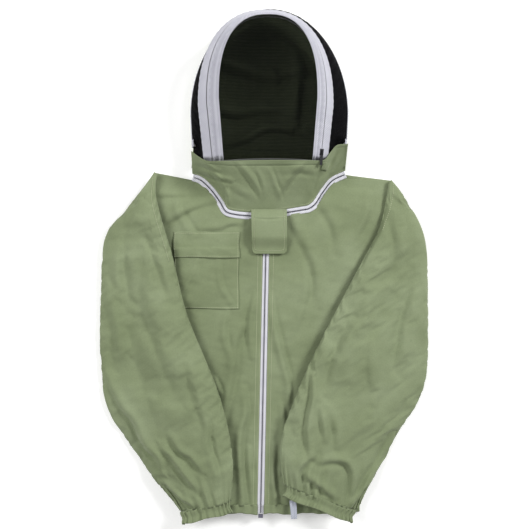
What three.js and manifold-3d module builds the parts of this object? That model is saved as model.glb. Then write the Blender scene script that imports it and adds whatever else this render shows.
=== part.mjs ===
// A ventilated beekeeper's jacket with a zip-on hooped veil, laid flat on its back with both sleeves
// folded over the front. Millimetres. +X is the wearer's left, +Y runs from the hem to the crown,
// +Z is up, away from the table. The origin is on the table, under the middle of the jacket.
import * as THREE from "three";
import { mergeVertices } from "three/addons/utils/BufferGeometryUtils.js";
import Module from "manifold-3d";

const wasm = await Module();
wasm.setup();

// ---------------------------------------------------------------- driving dimensions
const CLOTH = 2; // thickness given to each layer of cotton twill
const NET = 1.2; // thickness given to the black veil net
const TAPE = 1.2; // zip tape and webbing
const GAP = 0.6; // clearance between neighbouring panels

const CHEST_HALF = 290; // half the body's width at the chest
const HEM_HALF = 188; // half the body's width where the waist elastic draws it in
const BODY_RISE = 22; // how far the front lies above the back
const SIDE_Z = 4; // height of the side seams
const HEM_WIDTH = 20;

const SLEEVE_REST = 13.5; // sleeve above the front, over the pocket
const SLEEVE_REST_SIDE = 3.5; // sleeve above the side seam
const SLEEVE_PUFF = 24; // hollow between the sleeve's two layers

const ZIP_TOP = [4, 88];
const ZIP_END = [-8, -516];
const COIL_HALF = 2.6; // half the width of a closed zip chain
const COIL_SPLIT = 0.55; // half the slot between the two coils, where the slider's post runs
const COIL_HEIGHT = 2.2;
const TAPE_SHOWN = 7.5; // from the middle of a zip to the cloth it is sewn under


// Hoop lines, from the face opening out to the back of the head. `side` and `base` are half widths at the
// widest place and at the ends, `rise` is the height of the round top above the straight legs.
const FACE_EDGE = { cx: 7, side: 98, base: 90, y0: 218, y1: 330, rise: 159, power: 2.5, z0: 83, z1: 128 };
const ZIP_LINE = { cx: 4, side: 119, base: 109, y0: 218, y1: 325, rise: 173, power: 2.4, z0: 70, z1: 109 };
const VEIL_EDGE = { cx: 2.5, side: 134, base: 124, y0: 218, y1: 320, rise: 188, power: 2.3, z0: 60, z1: 88 };
const REAR_HOOP = { cx: 10, side: 161, base: 158, y0: 242, y1: 307, rise: 216, power: 2, z0: 31, z1: 38 };
const HOOP_STEPS = 32;
const LEG_SHARE = 6 / HOOP_STEPS;

// ---------------------------------------------------------------- small tools
const clamp = (t) => Math.min(1, Math.max(0, t));
const smooth = (t) => clamp(t) ** 2 * (3 - 2 * clamp(t));
const lerp = (a, b, t) => a + (b - a) * t;

// A smooth line in plan through a few points.
function line(...points) {
  const curve = new THREE.CatmullRomCurve3(
    points.map(([x, y]) => new THREE.Vector3(x, y, 0)),
    false,
    "centripetal",
  );
  return (t) => curve.getPointAt(clamp(t));
}

// The surface between four plan lines: across the bottom, across the top, up the left, up the right.
function between(bottom, top, left, right, height) {
  return (u, v) => {
    const p = new THREE.Vector3()
      .addScaledVector(bottom(u), 1 - v)
      .addScaledVector(top(u), v)
      .addScaledVector(left(v), 1 - u)
      .addScaledVector(right(v), u)
      .addScaledVector(bottom(0), -(1 - u) * (1 - v))
      .addScaledVector(bottom(1), -u * (1 - v))
      .addScaledVector(top(0), -(1 - u) * v)
      .addScaledVector(top(1), -u * v);
    p.z = height(p.x, p.y, u, v);
    return p;
  };
}

// The same surface moved along its own normal.
function raised(surface, distance) {
  const step = 1e-3;
  return (u, v) => {
    const du = surface(Math.min(1, u + step), v).sub(surface(Math.max(0, u - step), v));
    const dv = surface(u, Math.min(1, v + step)).sub(surface(u, Math.max(0, v - step)));
    return surface(u, v).addScaledVector(du.cross(dv).normalize(), distance);
  };
}

// A closed sheet of even thickness with `surface(u, v)` running through its middle.
function sheet(surface, thickness, across, along) {
  const points = [];
  const faces = [];
  for (const face of [raised(surface, thickness / 2), raised(surface, -thickness / 2)]) {
    for (let j = 0; j <= along; j++) {
      for (let i = 0; i <= across; i++) points.push(face(i / across, j / along));
    }
  }
  const row = across + 1;
  const under = row * (along + 1);
  const quad = (a, b, c, d) => faces.push(a, b, c, a, c, d);
  for (let j = 0; j < along; j++) {
    for (let i = 0; i < across; i++) {
      const a = j * row + i;
      quad(a, a + 1, a + 1 + row, a + row);
      quad(under + a, under + a + row, under + a + 1 + row, under + a + 1);
    }
  }
  for (let i = 0; i < across; i++) {
    const far = along * row + i;
    quad(under + i, under + i + 1, i + 1, i);
    quad(far, far + 1, under + far + 1, under + far);
  }
  for (let j = 0; j < along; j++) {
    const near = j * row;
    const far = near + across;
    quad(near, near + row, under + near + row, under + near);
    quad(under + far, under + far + row, far + row, far);
  }
  const geometry = new THREE.BufferGeometry().setFromPoints(points);
  geometry.setIndex(faces);
  return geometry;
}

// A bar of rectangular section between two corners.
function bar(x0, x1, y0, y1, z0, z1) {
  return new THREE.BoxGeometry(x1 - x0, y1 - y0, z1 - z0).translate((x0 + x1) / 2, (y0 + y1) / 2, (z0 + z1) / 2);
}

function toSolid(geometry) {
  const bare = geometry.clone();
  bare.deleteAttribute("normal");
  bare.deleteAttribute("uv");
  const merged = mergeVertices(bare, 1e-4);
  return new wasm.Manifold(
    new wasm.Mesh({
      numProp: 3,
      vertProperties: merged.attributes.position.array,
      triVerts: new Uint32Array(merged.index.array),
    }),
  );
}

function toGeometry(solid) {
  const { numProp, vertProperties, triVerts } = solid.getMesh();
  const places = new Float32Array((vertProperties.length / numProp) * 3);
  for (let i = 0; i < places.length / 3; i++) {
    places.set(vertProperties.subarray(i * numProp, i * numProp + 3), i * 3);
  }
  return new THREE.BufferGeometry()
    .setAttribute("position", new THREE.BufferAttribute(places, 3))
    .setIndex(new THREE.BufferAttribute(triVerts, 1));
}

function joined(...geometries) {
  return toGeometry(geometries.map(toSolid).reduce((whole, more) => whole.add(more)));
}

function cut(geometry, ...tools) {
  return toGeometry(tools.map(toSolid).reduce((whole, tool) => whole.subtract(tool), toSolid(geometry)));
}

function finish(color, roughness, metalness = 0) {
  return new THREE.MeshStandardMaterial({ color, roughness, metalness });
}

const twill = finish(0x8c9672, 0.95);
const netting = finish(0x121214, 0.8);
const whiteTape = finish(0xd8d8e0, 0.8);
const coilNylon = finish(0x56545e, 0.5);
const dieCast = finish(0x2a2a2d, 0.4, 0.8);
const whiteElastic = finish(0xc8ccd6, 0.8);
const hoopPlastic = finish(0xdcdcdc, 0.5);
const hookAndLoop = finish(0x6f7a58, 1);

const jacket = new THREE.Group();

function add(name, geometry, material, group = jacket) {
  const mesh = new THREE.Mesh(geometry, material);
  mesh.name = name;
  group.add(mesh);
  return mesh;
}

// ---------------------------------------------------------------- body
// Half the body's width at a height y.
const bodyHalf = (y) => lerp(CHEST_HALF, HEM_HALF, smooth((-40 - y) / 480));

// How much the front is held down at the shoulder seams, outside the neck.
function shoulderFade(x, y) {
  const seam = x < 0 ? 192 - (x + 228) * 0.25 : 176 + (264 - x) * 0.1;
  const outsideNeck = smooth((Math.abs(x - 8) - 100) / 60);
  return 1 - outsideNeck * (1 - smooth((seam - y) / 70));
}

// Height of the front over the table.
function frontHeight(x, y) {
  const across = clamp(Math.abs(x) / bodyHalf(y));
  return SIDE_Z + BODY_RISE * (1 - across ** 3) * shoulderFade(x, y);
}

const zipX = (y) => lerp(ZIP_END[0], ZIP_TOP[0], (y - ZIP_END[1]) / (ZIP_TOP[1] - ZIP_END[1]));

// The neck zip in plan: a shallow V across the throat, then up to each side of the neck.
const NECK = [
  [-152, 174],
  [-134, 171],
  [-112, 154],
  [-92, 129],
  [-80, 110],
  [-62, 104],
  [0, 100],
  [6, 101],
  [84, 114],
  [90, 115],
  [104, 124],
  [122, 149],
  [142, 170],
  [172, 184],
];
const neckLine = line(...NECK);

function neckHeight(x) {
  return 6 + 20 * (1 - smooth((Math.abs(x - 8) - 86) / 78));
}

// A line beside the neck zip, `offset` towards the hood (positive) or the jacket.
function besideNeck(from, to, offset) {
  return (t) => {
    const s = lerp(from, to, t);
    const ahead = neckLine(s + 0.01).sub(neckLine(s - 0.01)).normalize();
    return neckLine(s).add(new THREE.Vector3(-ahead.y, ahead.x, 0).multiplyScalar(offset));
  };
}

const RIGHT_SIDE = [[-172, -498], [-205, -400], [-252, -250], [-280, -80], [-284, 20], [-262, 120], [-228, 192]];
const LEFT_SIDE = [[197, -498], [216, -400], [256, -250], [286, -80], [290, 20], [282, 110], [264, 176]];
const HEM_TOP_Y = -498;
const NECK_MIDDLE = 0.475; // share of the neck line at the middle of the throat
const NECK_SIDE_RIGHT = 0.03;
const NECK_SIDE_LEFT = 0.97;

// The top edge of a front: along the neck zip, then out along the shoulder seam.
function frontTop(from, to, tip) {
  const neck = besideNeck(from, to, -TAPE_SHOWN - 4);
  const corner = neck(1);
  const neckShare = 0.62;
  return (t) => {
    if (t < neckShare) return neck(t / neckShare);
    return corner.clone().lerp(new THREE.Vector3(tip[0], tip[1], 0), (t - neckShare) / (1 - neckShare));
  };
}

function frontPanel(side) {
  const right = side < 0;
  const tip = right ? RIGHT_SIDE.at(-1) : LEFT_SIDE.at(-1);
  const top = right
    ? frontTop(NECK_MIDDLE - 0.035, NECK_SIDE_RIGHT, tip)
    : frontTop(NECK_MIDDLE + 0.035, NECK_SIDE_LEFT, tip);
  const seam = line(...(right ? RIGHT_SIDE : LEFT_SIDE));
  const start = top(0);
  const opening = (v) =>
    new THREE.Vector3(
      lerp(zipX(HEM_TOP_Y) + side * TAPE_SHOWN, start.x, v),
      lerp(HEM_TOP_Y, start.y, v),
      0,
    );
  const hem = (u) => opening(0).lerp(seam(0), u);
  return right
    ? between((u) => hem(1 - u), (u) => top(1 - u), seam, opening, frontHeight)
    : between(hem, top, opening, seam, frontHeight);
}

add("front_panel_right", sheet(frontPanel(-1), CLOTH, 10, 14), twill);
add("front_panel_left", sheet(frontPanel(1), CLOTH, 10, 14), twill);

// The back lies flat on the table under both fronts.
const backRightSeam = line(...RIGHT_SIDE);
const backLeftSeam = line(...LEFT_SIDE);
const BACK_NECK = [[-228, 192], [-150, 176], [-70, 196], [10, 204], [90, 200], [168, 188], [264, 176]];
const backTop = line(...BACK_NECK);
const backHem = (u) => backRightSeam(0).lerp(backLeftSeam(0), u);
add(
  "back_panel",
  sheet(between(backHem, backTop, backRightSeam, backLeftSeam, () => CLOTH / 2), CLOTH, 12, 12),
  twill,
);

// The waist hem is one casing round the body, open at the zip. Its elastic lies inside it.
function waistBand(inset, endInset, thickness, lift) {
  const y1 = HEM_TOP_Y - GAP - inset;
  const y0 = HEM_TOP_Y - HEM_WIDTH + inset;
  const ends = [-172 + endInset, 197 - endInset];
  const strip = (x0, x1, height) =>
    sheet(
      between(
        (u) => new THREE.Vector3(lerp(x0, x1, u), y0, 0),
        (u) => new THREE.Vector3(lerp(x0, x1, u), y1, 0),
        (v) => new THREE.Vector3(x0, lerp(y0, y1, v), 0),
        (v) => new THREE.Vector3(x1, lerp(y0, y1, v), 0),
        height,
      ),
      thickness,
      10,
      1,
    );
  const front = (x, y) => frontHeight(x, y) - lift;
  const back = () => CLOTH / 2 + lift;
  const clearOfZip = TAPE_SHOWN + inset;
  const turn = (x0, x1) => bar(x0, x1, y0, y1, CLOTH / 2 + lift, frontHeight(x0, y0) - lift);
  return joined(
    strip(ends[0], zipX(y0) - clearOfZip, front),
    strip(zipX(y0) + clearOfZip, ends[1], front),
    strip(ends[0], ends[1], back),
    turn(ends[0], ends[0] + 1.5),
    turn(ends[1] - 1.5, ends[1]),
  );
}
add("waist_hem", waistBand(0, 0, CLOTH, 0), twill);
add("waist_elastic", waistBand(2.5, 22, 1, 1.9), whiteElastic);

// ---------------------------------------------------------------- chest pocket
const POCKET = { x0: -186, x1: -53, y0: -91, y1: 30, standOff: 9 };
const FLAP = { x0: -186, x1: -53, y0: 17, y1: 68 };
const pocketGroup = new THREE.Group();
jacket.add(pocketGroup);

function patch(area, height, across, along) {
  const corner = (u, v) => new THREE.Vector3(lerp(area.x0, area.x1, u), lerp(area.y0, area.y1, v), 0);
  return sheet(
    between((u) => corner(u, 0), (u) => corner(u, 1), (v) => corner(0, v), (v) => corner(1, v), height),
    1.6,
    across,
    along,
  );
}

// The patch pocket is sewn down on three sides and open under its flap.
function pocketHeight(x, y) {
  const fromSeam = Math.min(x - POCKET.x0, POCKET.x1 - x, y - POCKET.y0);
  return frontHeight(x, y) + 2.4 + (POCKET.standOff - 1.4) * smooth(fromSeam / 14);
}
add("chest_pocket", patch(POCKET, pocketHeight, 10, 8), twill, pocketGroup);

// The flap is sewn on above the mouth and falls over it.
function flapHeight(x, y) {
  return frontHeight(x, y) + 2.4 + 11.4 * smooth((FLAP.y1 - y) / 22);
}
add("pocket_flap", patch(FLAP, flapHeight, 8, 5), twill, pocketGroup);

// ---------------------------------------------------------------- zips
// Each zip has two tapes and two coils. The slider's thin post runs in the slot between the coils.
const zipMiddle = (y) => new THREE.Vector3(zipX(y), y, 0);
const ZIP_Z = SIDE_Z + BODY_RISE - 1;

function frontZipStrip(inner, outer, z, thickness) {
  const y0 = ZIP_END[1];
  const y1 = ZIP_TOP[1];
  const edge = (offset) => (v) => {
    const p = zipMiddle(lerp(y0, y1, v));
    p.x += offset;
    return p;
  };
  const low = Math.min(inner, outer);
  const high = Math.max(inner, outer);
  const across = (v) => (u) => edge(low)(v).lerp(edge(high)(v), u);
  return sheet(between(across(0), across(1), edge(low), edge(high), () => z), thickness, 1, 6);
}
for (const [name, side] of [["right", -1], ["left", 1]]) {
  const tape = frontZipStrip(side * COIL_SPLIT, side * (TAPE_SHOWN - GAP), ZIP_Z, TAPE);
  add(`front_zip_tape_${name}`, tape, whiteTape);
  const coilZ = ZIP_Z + TAPE / 2 + 0.3 + COIL_HEIGHT / 2;
  add(`front_zip_coil_${name}`, frontZipStrip(side * COIL_SPLIT, side * COIL_HALF, coilZ, COIL_HEIGHT), coilNylon);
}

// A slider in its own frame: +Y is the way it closes, z = 0 is the tape's top face.
const SLIDER = { width: 9.6, length: 13, plate: 1.3, bridge: 1.2, eye: 1.1 };
const sliderTop = 0.3 + COIL_HEIGHT + 0.4;
const pivotZ = sliderTop + SLIDER.plate + 1.1;

function sliderBody() {
  const w = SLIDER.width / 2;
  const l = SLIDER.length / 2;
  const top = sliderTop + SLIDER.plate;
  const below = -TAPE - 0.4;
  const bridgeZ = pivotZ + 0.9;
  return joined(
    bar(-w, w, -l, l, sliderTop, top),
    bar(-w, w, -l, l, below - SLIDER.plate, below),
    bar(-0.28, 0.28, l - 4, l, below - SLIDER.plate, top),
    bar(-w, -w + 1, -l, l, 0.4, top),
    bar(w - 1, w, -l, l, 0.4, top),
    bar(-0.9, 0.9, -3.4, 3.4, bridgeZ, bridgeZ + SLIDER.bridge),
    bar(-0.9, 0.9, -3.4, -2.2, top - 0.1, bridgeZ + 0.1),
    bar(-0.9, 0.9, 2.2, 3.4, top - 0.1, bridgeZ + 0.1),
  );
}

// A pull: an axle under the slider's bridge, two cheeks, and a blade pointing to -Y.
function pullTab(length) {
  const cheek = (x) => bar(x - 0.5, x + 0.5, -8, 0.6, pivotZ - 0.5, pivotZ + 0.5);
  return joined(
    bar(-3, 3, -0.6, 0.6, pivotZ - 0.5, pivotZ + 0.5),
    cheek(-2.5),
    cheek(2.5),
    bar(-3, 3, -length, -7, pivotZ - 0.5, pivotZ + 0.5),
  );
}

// Puts a slider and its pull on a zip: `turn` swings its +Y to the way it closes, `tilt` lays it on a slope.
function placeSlider(name, at, turn, tilt, pullLength, flip = 0) {
  const place = new THREE.Group();
  place.position.set(...at);
  place.rotation.set(tilt, 0, turn, "ZXY");
  jacket.add(place);
  add(`${name}_slider`, sliderBody(), dieCast, place);
  const swing = new THREE.Group();
  swing.rotation.z = flip;
  place.add(swing);
  add(`${name}_pull`, pullTab(pullLength), dieCast, swing);
}

const zipTurn = Math.atan2(ZIP_TOP[1] - ZIP_END[1], ZIP_TOP[0] - ZIP_END[0]) - Math.PI / 2;
const SLIDER_REST_Y = 78;
placeSlider("front_zip", [zipX(SLIDER_REST_Y), SLIDER_REST_Y, ZIP_Z + TAPE / 2], zipTurn, 0, 22);

// The stops and the open end: two clamps at the top, the pin and box at the hem.
for (const [name, side] of [["right", -1], ["left", 1]]) {
  const x = ZIP_TOP[0] + side * 2;
  const y = ZIP_TOP[1] + 2.4;
  add(`front_zip_top_stop_${name}`, bar(x - 1.4, x + 1.4, y - 2, y + 2, ZIP_Z - 1, ZIP_Z + 2.6), coilNylon);
}
const boxX = ZIP_END[0];
const boxY = ZIP_END[1] - 1;
add(
  "front_zip_retainer_box",
  bar(boxX - 5, boxX + 5, boxY - 7, boxY - 0.2, ZIP_Z - 1.6, ZIP_Z + 3.4),
  coilNylon,
);

// The neck zip joins the hood to the jacket, right round the neck.
const BACK_ZIP = [[-146, 190], [-120, 205], [-70, 211], [10, 214], [90, 211], [140, 203], [162, 190]];
const backZipLine = line(...BACK_ZIP);

function neckStrip(inner, outer, lift, thickness) {
  const from = 0.012;
  const to = 0.988;
  const rib = (low, high, t) => {
    const a = besideNeck(from, to, low)(t);
    const b = besideNeck(from, to, high)(t);
    return (u) => a.clone().lerp(b, u);
  };
  return sheet(
    (u, v) => {
      const p = rib(inner, outer, v)(1 - u);
      p.z = neckHeight(p.x) + lift;
      return p;
    },
    thickness,
    1,
    36,
  );
}

function backNeckStrip(inner, outer, lift, thickness) {
  return sheet(
    (u, v) => {
      const s = lerp(0.03, 0.97, v);
      const ahead = backZipLine(s + 0.01).sub(backZipLine(s - 0.01)).normalize();
      const p = backZipLine(s).add(
        new THREE.Vector3(-ahead.y, ahead.x, 0).multiplyScalar(lerp(outer, inner, u)),
      );
      p.z = CLOTH + 1.2 + lift;
      return p;
    },
    thickness,
    1,
    16,
  );
}
const tapeEdge = TAPE_SHOWN - GAP;
add("neck_zip_tape_jacket", neckStrip(-tapeEdge, -COIL_SPLIT, 0, TAPE), whiteTape);
add("neck_zip_tape_hood", neckStrip(COIL_SPLIT, tapeEdge, 0, TAPE), whiteTape);
const coilLift = TAPE / 2 + 0.3 + COIL_HEIGHT / 2;
add("neck_zip_coil_jacket", neckStrip(-COIL_HALF, -COIL_SPLIT, coilLift, COIL_HEIGHT), coilNylon);
add("neck_zip_coil_hood", neckStrip(COIL_SPLIT, COIL_HALF, coilLift, COIL_HEIGHT), coilNylon);
add("neck_zip_back_tape", backNeckStrip(-tapeEdge, tapeEdge, 0, TAPE), whiteTape);
add("neck_zip_back_coil", backNeckStrip(-COIL_HALF, COIL_HALF, coilLift, COIL_HEIGHT), coilNylon);

// ---------------------------------------------------------------- hood
// A point on a hoop line: s runs 0 to 1 from the right end over the crown to the left end.
function hoopPoint(hoop, s) {
  const p = new THREE.Vector3();
  const fromEnd = Math.min(s, 1 - s);
  const side = s < 0.5 ? -1 : 1;
  const top = hoop.y1 + hoop.rise;
  if (fromEnd < LEG_SHARE) {
    const t = fromEnd / LEG_SHARE;
    p.x = hoop.cx + side * lerp(hoop.base, hoop.side, t);
    p.y = lerp(hoop.y0, hoop.y1, t);
  } else {
    const angle = (Math.PI * (s - LEG_SHARE)) / (1 - 2 * LEG_SHARE);
    const round = (t) => Math.sign(t) * Math.abs(t) ** (2 / hoop.power);
    p.x = hoop.cx - hoop.side * round(Math.cos(angle));
    p.y = hoop.y1 + hoop.rise * round(Math.sin(angle));
  }
  p.z = lerp(hoop.z0, hoop.z1, (p.y - hoop.y0) / (top - hoop.y0));
  return p;
}

// A band between two hoop lines, from share r0 to share r1 of the way out, sunk by `sink`.
function hoopBand(inside, outside, r0, r1, thickness, { across = 1, sink = 0, from = 0, to = 1 } = {}) {
  const surface = (u, v) => {
    const s = lerp(from, to, v);
    return hoopPoint(inside, s).lerp(hoopPoint(outside, s), lerp(r1, r0, u));
  };
  return sheet(raised(surface, -sink), thickness, across, HOOP_STEPS);
}

function hoopRod(line3, radius, from, to) {
  const points = [];
  for (let i = 0; i <= HOOP_STEPS; i++) points.push(line3(lerp(from, to, i / HOOP_STEPS)));
  const section = new THREE.Shape().absarc(0, 0, radius, 0, 2 * Math.PI);
  return new THREE.ExtrudeGeometry(section, {
    extrudePath: new THREE.CatmullRomCurve3(points),
    steps: HOOP_STEPS,
    curveSegments: 2,
    bevelEnabled: false,
  });
}

// The front frame, in order outwards from the face opening: white hoop casing, its half of the zip, then the
// other half of the zip, which stays on the hood. The frame's half stops short of the parked slider.
const TAPE_SINK = COIL_HEIGHT / 2 + 0.3 + TAPE / 2;
const FRAME_ZIP = { from: 0.03, to: 0.952 };
add("front_hoop_casing", hoopBand(FACE_EDGE, ZIP_LINE, 0.03, 0.71, TAPE, { across: 2, sink: TAPE_SINK }), whiteTape);
add("veil_zip_tape_inner", hoopBand(FACE_EDGE, ZIP_LINE, 0.745, 0.965, TAPE, { ...FRAME_ZIP, sink: TAPE_SINK }), whiteTape);
add("veil_zip_coil_inner", hoopBand(FACE_EDGE, ZIP_LINE, 0.87, 0.965, COIL_HEIGHT, FRAME_ZIP), coilNylon);
add("veil_zip_coil_outer", hoopBand(ZIP_LINE, VEIL_EDGE, 0.045, 0.15, COIL_HEIGHT), coilNylon);
add("veil_zip_tape_outer", hoopBand(ZIP_LINE, VEIL_EDGE, 0.045, 0.97, TAPE, { sink: TAPE_SINK }), whiteTape);
add(
  "front_hoop",
  hoopRod((s) => hoopPoint(FACE_EDGE, s).lerp(hoopPoint(ZIP_LINE, s), 0.4).add(
    new THREE.Vector3(0, -3 * Math.sin(Math.PI * s), -7.5)), 1.6, 0.01, 0.99),
  hoopPlastic,
);

// The face net bows up a little between the two sides of the front hoop.
add(
  "face_net",
  sheet(
    (u, v) => {
      const s = lerp(0.004, 0.485, v);
      const shrink = 2;
      const a = hoopPoint(FACE_EDGE, s);
      const b = hoopPoint(FACE_EDGE, 1 - s);
      a.x += shrink;
      b.x -= shrink;
      const p = a.lerp(b, u);
      p.y -= 2.6 * v;
      p.z += 9 * Math.sin(Math.PI * u) * smooth((0.5 - s) / 0.3) - 1;
      return p;
    },
    NET,
    10,
    16,
  ),
  netting,
);

// Net between the veil's edge and the rear hoop, over the ears and the crown.
const REAR_TOP = { ...REAR_HOOP, z0: REAR_HOOP.z0 + 8, z1: REAR_HOOP.z1 + 8 };
const REAR_LOW = { ...REAR_HOOP, z0: REAR_HOOP.z0 - 7, z1: REAR_HOOP.z1 - 7 };
add("side_net", hoopBand(VEIL_EDGE, REAR_TOP, 0.04, 0.985, NET, { across: 2 }), netting);
add("rear_hoop_casing", hoopBand(REAR_TOP, REAR_LOW, 0.03, 0.97, TAPE), whiteTape);
add(
  "rear_hoop",
  hoopRod((s) => {
    const p = hoopPoint(REAR_HOOP, s);
    const inward = new THREE.Vector3(REAR_HOOP.cx - p.x, REAR_HOOP.y1 - p.y, 0);
    if (p.y < REAR_HOOP.y1) inward.y = 0;
    return p.addScaledVector(inward.normalize(), 4);
  }, 1.8, 0.005, 0.995),
  hoopPlastic,
);

// The cotton back of the hood: flat on the table, turned up all round to the rear hoop's casing.
const HOOD_BACK_EDGE = { ...REAR_LOW, y0: 238, cx: REAR_HOOP.cx };
const edgeSamples = Array.from({ length: 61 }, (_, i) => hoopPoint(HOOD_BACK_EDGE, i / 60));

function hoodBackHeight(x, y) {
  const away = Math.min(...edgeSamples.map((p) => Math.hypot(p.x - x, p.y - y)));
  return 1.2 + (HOOD_BACK_EDGE.z0 - 1.5) * Math.exp(-away / 16);
}
add(
  "hood_back",
  sheet(
    (u, v) => {
      const s = lerp(0, 0.487, v);
      const p = hoopPoint(HOOD_BACK_EDGE, s).lerp(hoopPoint(HOOD_BACK_EDGE, 1 - s), lerp(0.004, 0.996, u));
      p.z = hoodBackHeight(p.x, p.y);
      return p;
    },
    CLOTH,
    16,
    16,
  ),
  twill,
);

// The nape joins the back of the hood to the neck zip.
const napeBottom = line([-152, 201], [-122, 214], [-70, 220], [10, 223], [90, 220], [144, 213], [168, 200]);
add(
  "hood_nape",
  sheet(
    (u, v) => {
      const low = napeBottom(u);
      const high = new THREE.Vector3(
        lerp(REAR_HOOP.cx - REAR_HOOP.base, REAR_HOOP.cx + REAR_HOOP.base, u), 236, 0);
      const p = low.lerp(high, v);
      const edge = Math.abs(2 * u - 1) ** 12;
      p.z = lerp(CLOTH + 1.2, 1.2, v) * (1 - edge) + lerp(14, 23, v) * edge;
      return p;
    },
    CLOTH,
    16,
    3,
  ),
  twill,
);

// The bib: cotton from the neck zip up to the face opening, and round each side to the rear hoop.
const bibLow = besideNeck(0.03, 0.97, TAPE_SHOWN + GAP);
const bibHigh = line(
  [-148, 240], [-134, 226], [-118, 212], [-80, 210], [7, 210], [92, 210], [124, 212], [146, 226], [168, 240],
);
const bibCentre = (a, b) => (t) => a.clone().lerp(b, t);
function bibHeight(x, y, u, v) {
  const low = neckHeight(x) + 1;
  const high = 33 + 46 * (1 - clamp(Math.abs(x - 7) / 158) ** 3.2);
  return lerp(low, high, v ** 1.15);
}
add(
  "bib",
  sheet(
    between(bibLow, bibHigh, bibCentre(bibLow(0), bibHigh(0)), bibCentre(bibLow(1), bibHigh(1)), bibHeight),
    CLOTH,
    24,
    6,
  ),
  twill,
);

// The veil zip's slider is parked at the left end, at the bottom of the face opening.
const veilAt = hoopPoint(ZIP_LINE, 0.984);
const veilAhead = hoopPoint(ZIP_LINE, 0.964).sub(veilAt).normalize();
const veilSlope = Math.asin(veilAhead.z);
const bandOut = hoopPoint(VEIL_EDGE, 0.984).sub(hoopPoint(FACE_EDGE, 0.984)).normalize();
const veilPlace = new THREE.Group();
const veilUp = new THREE.Vector3().crossVectors(bandOut, veilAhead).normalize();
const veilSide = new THREE.Vector3().crossVectors(veilAhead, veilUp).normalize();
veilPlace.matrixAutoUpdate = false;
veilPlace.matrix.makeBasis(veilSide, veilAhead, veilUp).setPosition(
  veilAt.clone().addScaledVector(veilUp, -COIL_HEIGHT / 2 - 0.3),
);
jacket.add(veilPlace);
add("veil_zip_slider", sliderBody(), dieCast, veilPlace);
add("veil_zip_pull", pullTab(26), dieCast, veilPlace);

// The neck zip's slider is parked under the throat tab.
const NECK_RUN = { from: [0, 100], to: [90, 115] };
const neckRunTurn = Math.atan2(NECK_RUN.to[1] - NECK_RUN.from[1], NECK_RUN.to[0] - NECK_RUN.from[0]);
placeSlider("neck_zip", [14, 102.33, neckHeight(14) + TAPE / 2], neckRunTurn - Math.PI / 2, 0, 18);

// ---------------------------------------------------------------- throat tab
const TAB = { x0: -29, x1: 46, y0: 24, y1: 116 };
function tabHeight(x, y) {
  const t = (TAB.y1 - y) / (TAB.y1 - TAB.y0);
  return 33 + 9 * smooth(t / 0.2) - 9.6 * smooth((t - 0.62) / 0.2);
}
add("throat_tab", patch(TAB, tabHeight, 4, 14), twill);
const PATCHES = [["right", TAB.x0 + 3, TAB.x0 + 20], ["left", TAB.x1 - 20, TAB.x1 - 3]];
for (const [name, x0, x1] of PATCHES) {
  const frontTopZ = frontHeight(0, 30) + CLOTH / 2;
  add(`tab_loop_${name}`, bar(x0, x1, 27, 41, frontTopZ + 0.3, frontTopZ + 1.9), hookAndLoop);
  add(`tab_hook_${name}`, bar(x0, x1, 27, 41, frontTopZ + 2.2, 31.3), hookAndLoop);
}

// ---------------------------------------------------------------- sleeves
const RIGHT_SLEEVE = {
  inner: [[-222, 176], [-225, 147], [-189, 16], [-160, -100], [-122, -194], [-99, -250], [-76, -330], [-66, -400], [-69, -485]],
  outer: [[-232, 190], [-254, 158], [-294, 108], [-327, 64], [-337, 10], [-338, -240], [-322, -308], [-262, -402], [-176, -509]],
};
const LEFT_SLEEVE = {
  inner: [[258, 160], [254, 140], [238, 76], [192, -10], [152, -86], [114, -160], [86, -218], [60, -280], [40, -340], [33, -400], [40, -450]],
  outer: [[268, 173], [286, 150], [308, 110], [330, 60], [338, 0], [338, -225], [322, -282], [281, -350], [250, -405], [212, -470], [194, -509]],
};

// Height of the sleeve's under layer: it rides over the front and falls to the table outside it.
function sleeveRest(x, y) {
  const side = Math.abs(x);
  const rest = lerp(SLEEVE_REST, SLEEVE_REST_SIDE, smooth((side - 200) / 62));
  const offBody = smooth((side - bodyHalf(y) - 16) / 40);
  return Math.max(1.6, frontHeight(x, y) + rest - offBody * (SIDE_Z + SLEEVE_REST_SIDE - 1.6));
}

function sleeveSurface(outline, mirrored, height) {
  const inner = line(...outline.inner);
  const outer = line(...outline.outer);
  const [left, right] = mirrored ? [inner, outer] : [outer, inner];
  const straight = (t) => (u) => left(t).lerp(right(t), u);
  return between(straight(1), straight(0), (v) => left(1 - v), (v) => right(1 - v), height);
}

function sleevePuff(u, v) {
  return (SLEEVE_PUFF * Math.min(1, 0.7 + v * 3, 0.35 + (1 - v) * 5)) * (4 * u * (1 - u)) ** 0.6;
}

const CUFFS = {
  right: { at: [-119.5, -509.6], turn: 0.229, width: 108, sleeve: RIGHT_SLEEVE, mirrored: false },
  left: { at: [112.3, -491.6], turn: -0.366, width: 156, sleeve: LEFT_SLEEVE, mirrored: true },
};
const CUFF = { length: 22, height: 17, wall: 4.4, groove: 1.8 };

// A flat rounded ring, open along Y: the gathered casing at the wrist.
function flatRing(width, height, length, wall) {
  const outline = (w, h, Path) => {
    const r = h / 2;
    const path = new Path();
    path.absarc(w / 2 - r, 0, r, -Math.PI / 2, Math.PI / 2, false);
    path.absarc(-w / 2 + r, 0, r, Math.PI / 2, (3 * Math.PI) / 2, false);
    return path;
  };
  const shape = outline(width, height, THREE.Shape);
  shape.holes.push(outline(width - 2 * wall, height - 2 * wall, THREE.Path));
  return new THREE.ExtrudeGeometry(shape, { depth: length, bevelEnabled: false, curveSegments: 6 })
    .translate(0, 0, -length / 2)
    .rotateX(Math.PI / 2);
}

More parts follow.
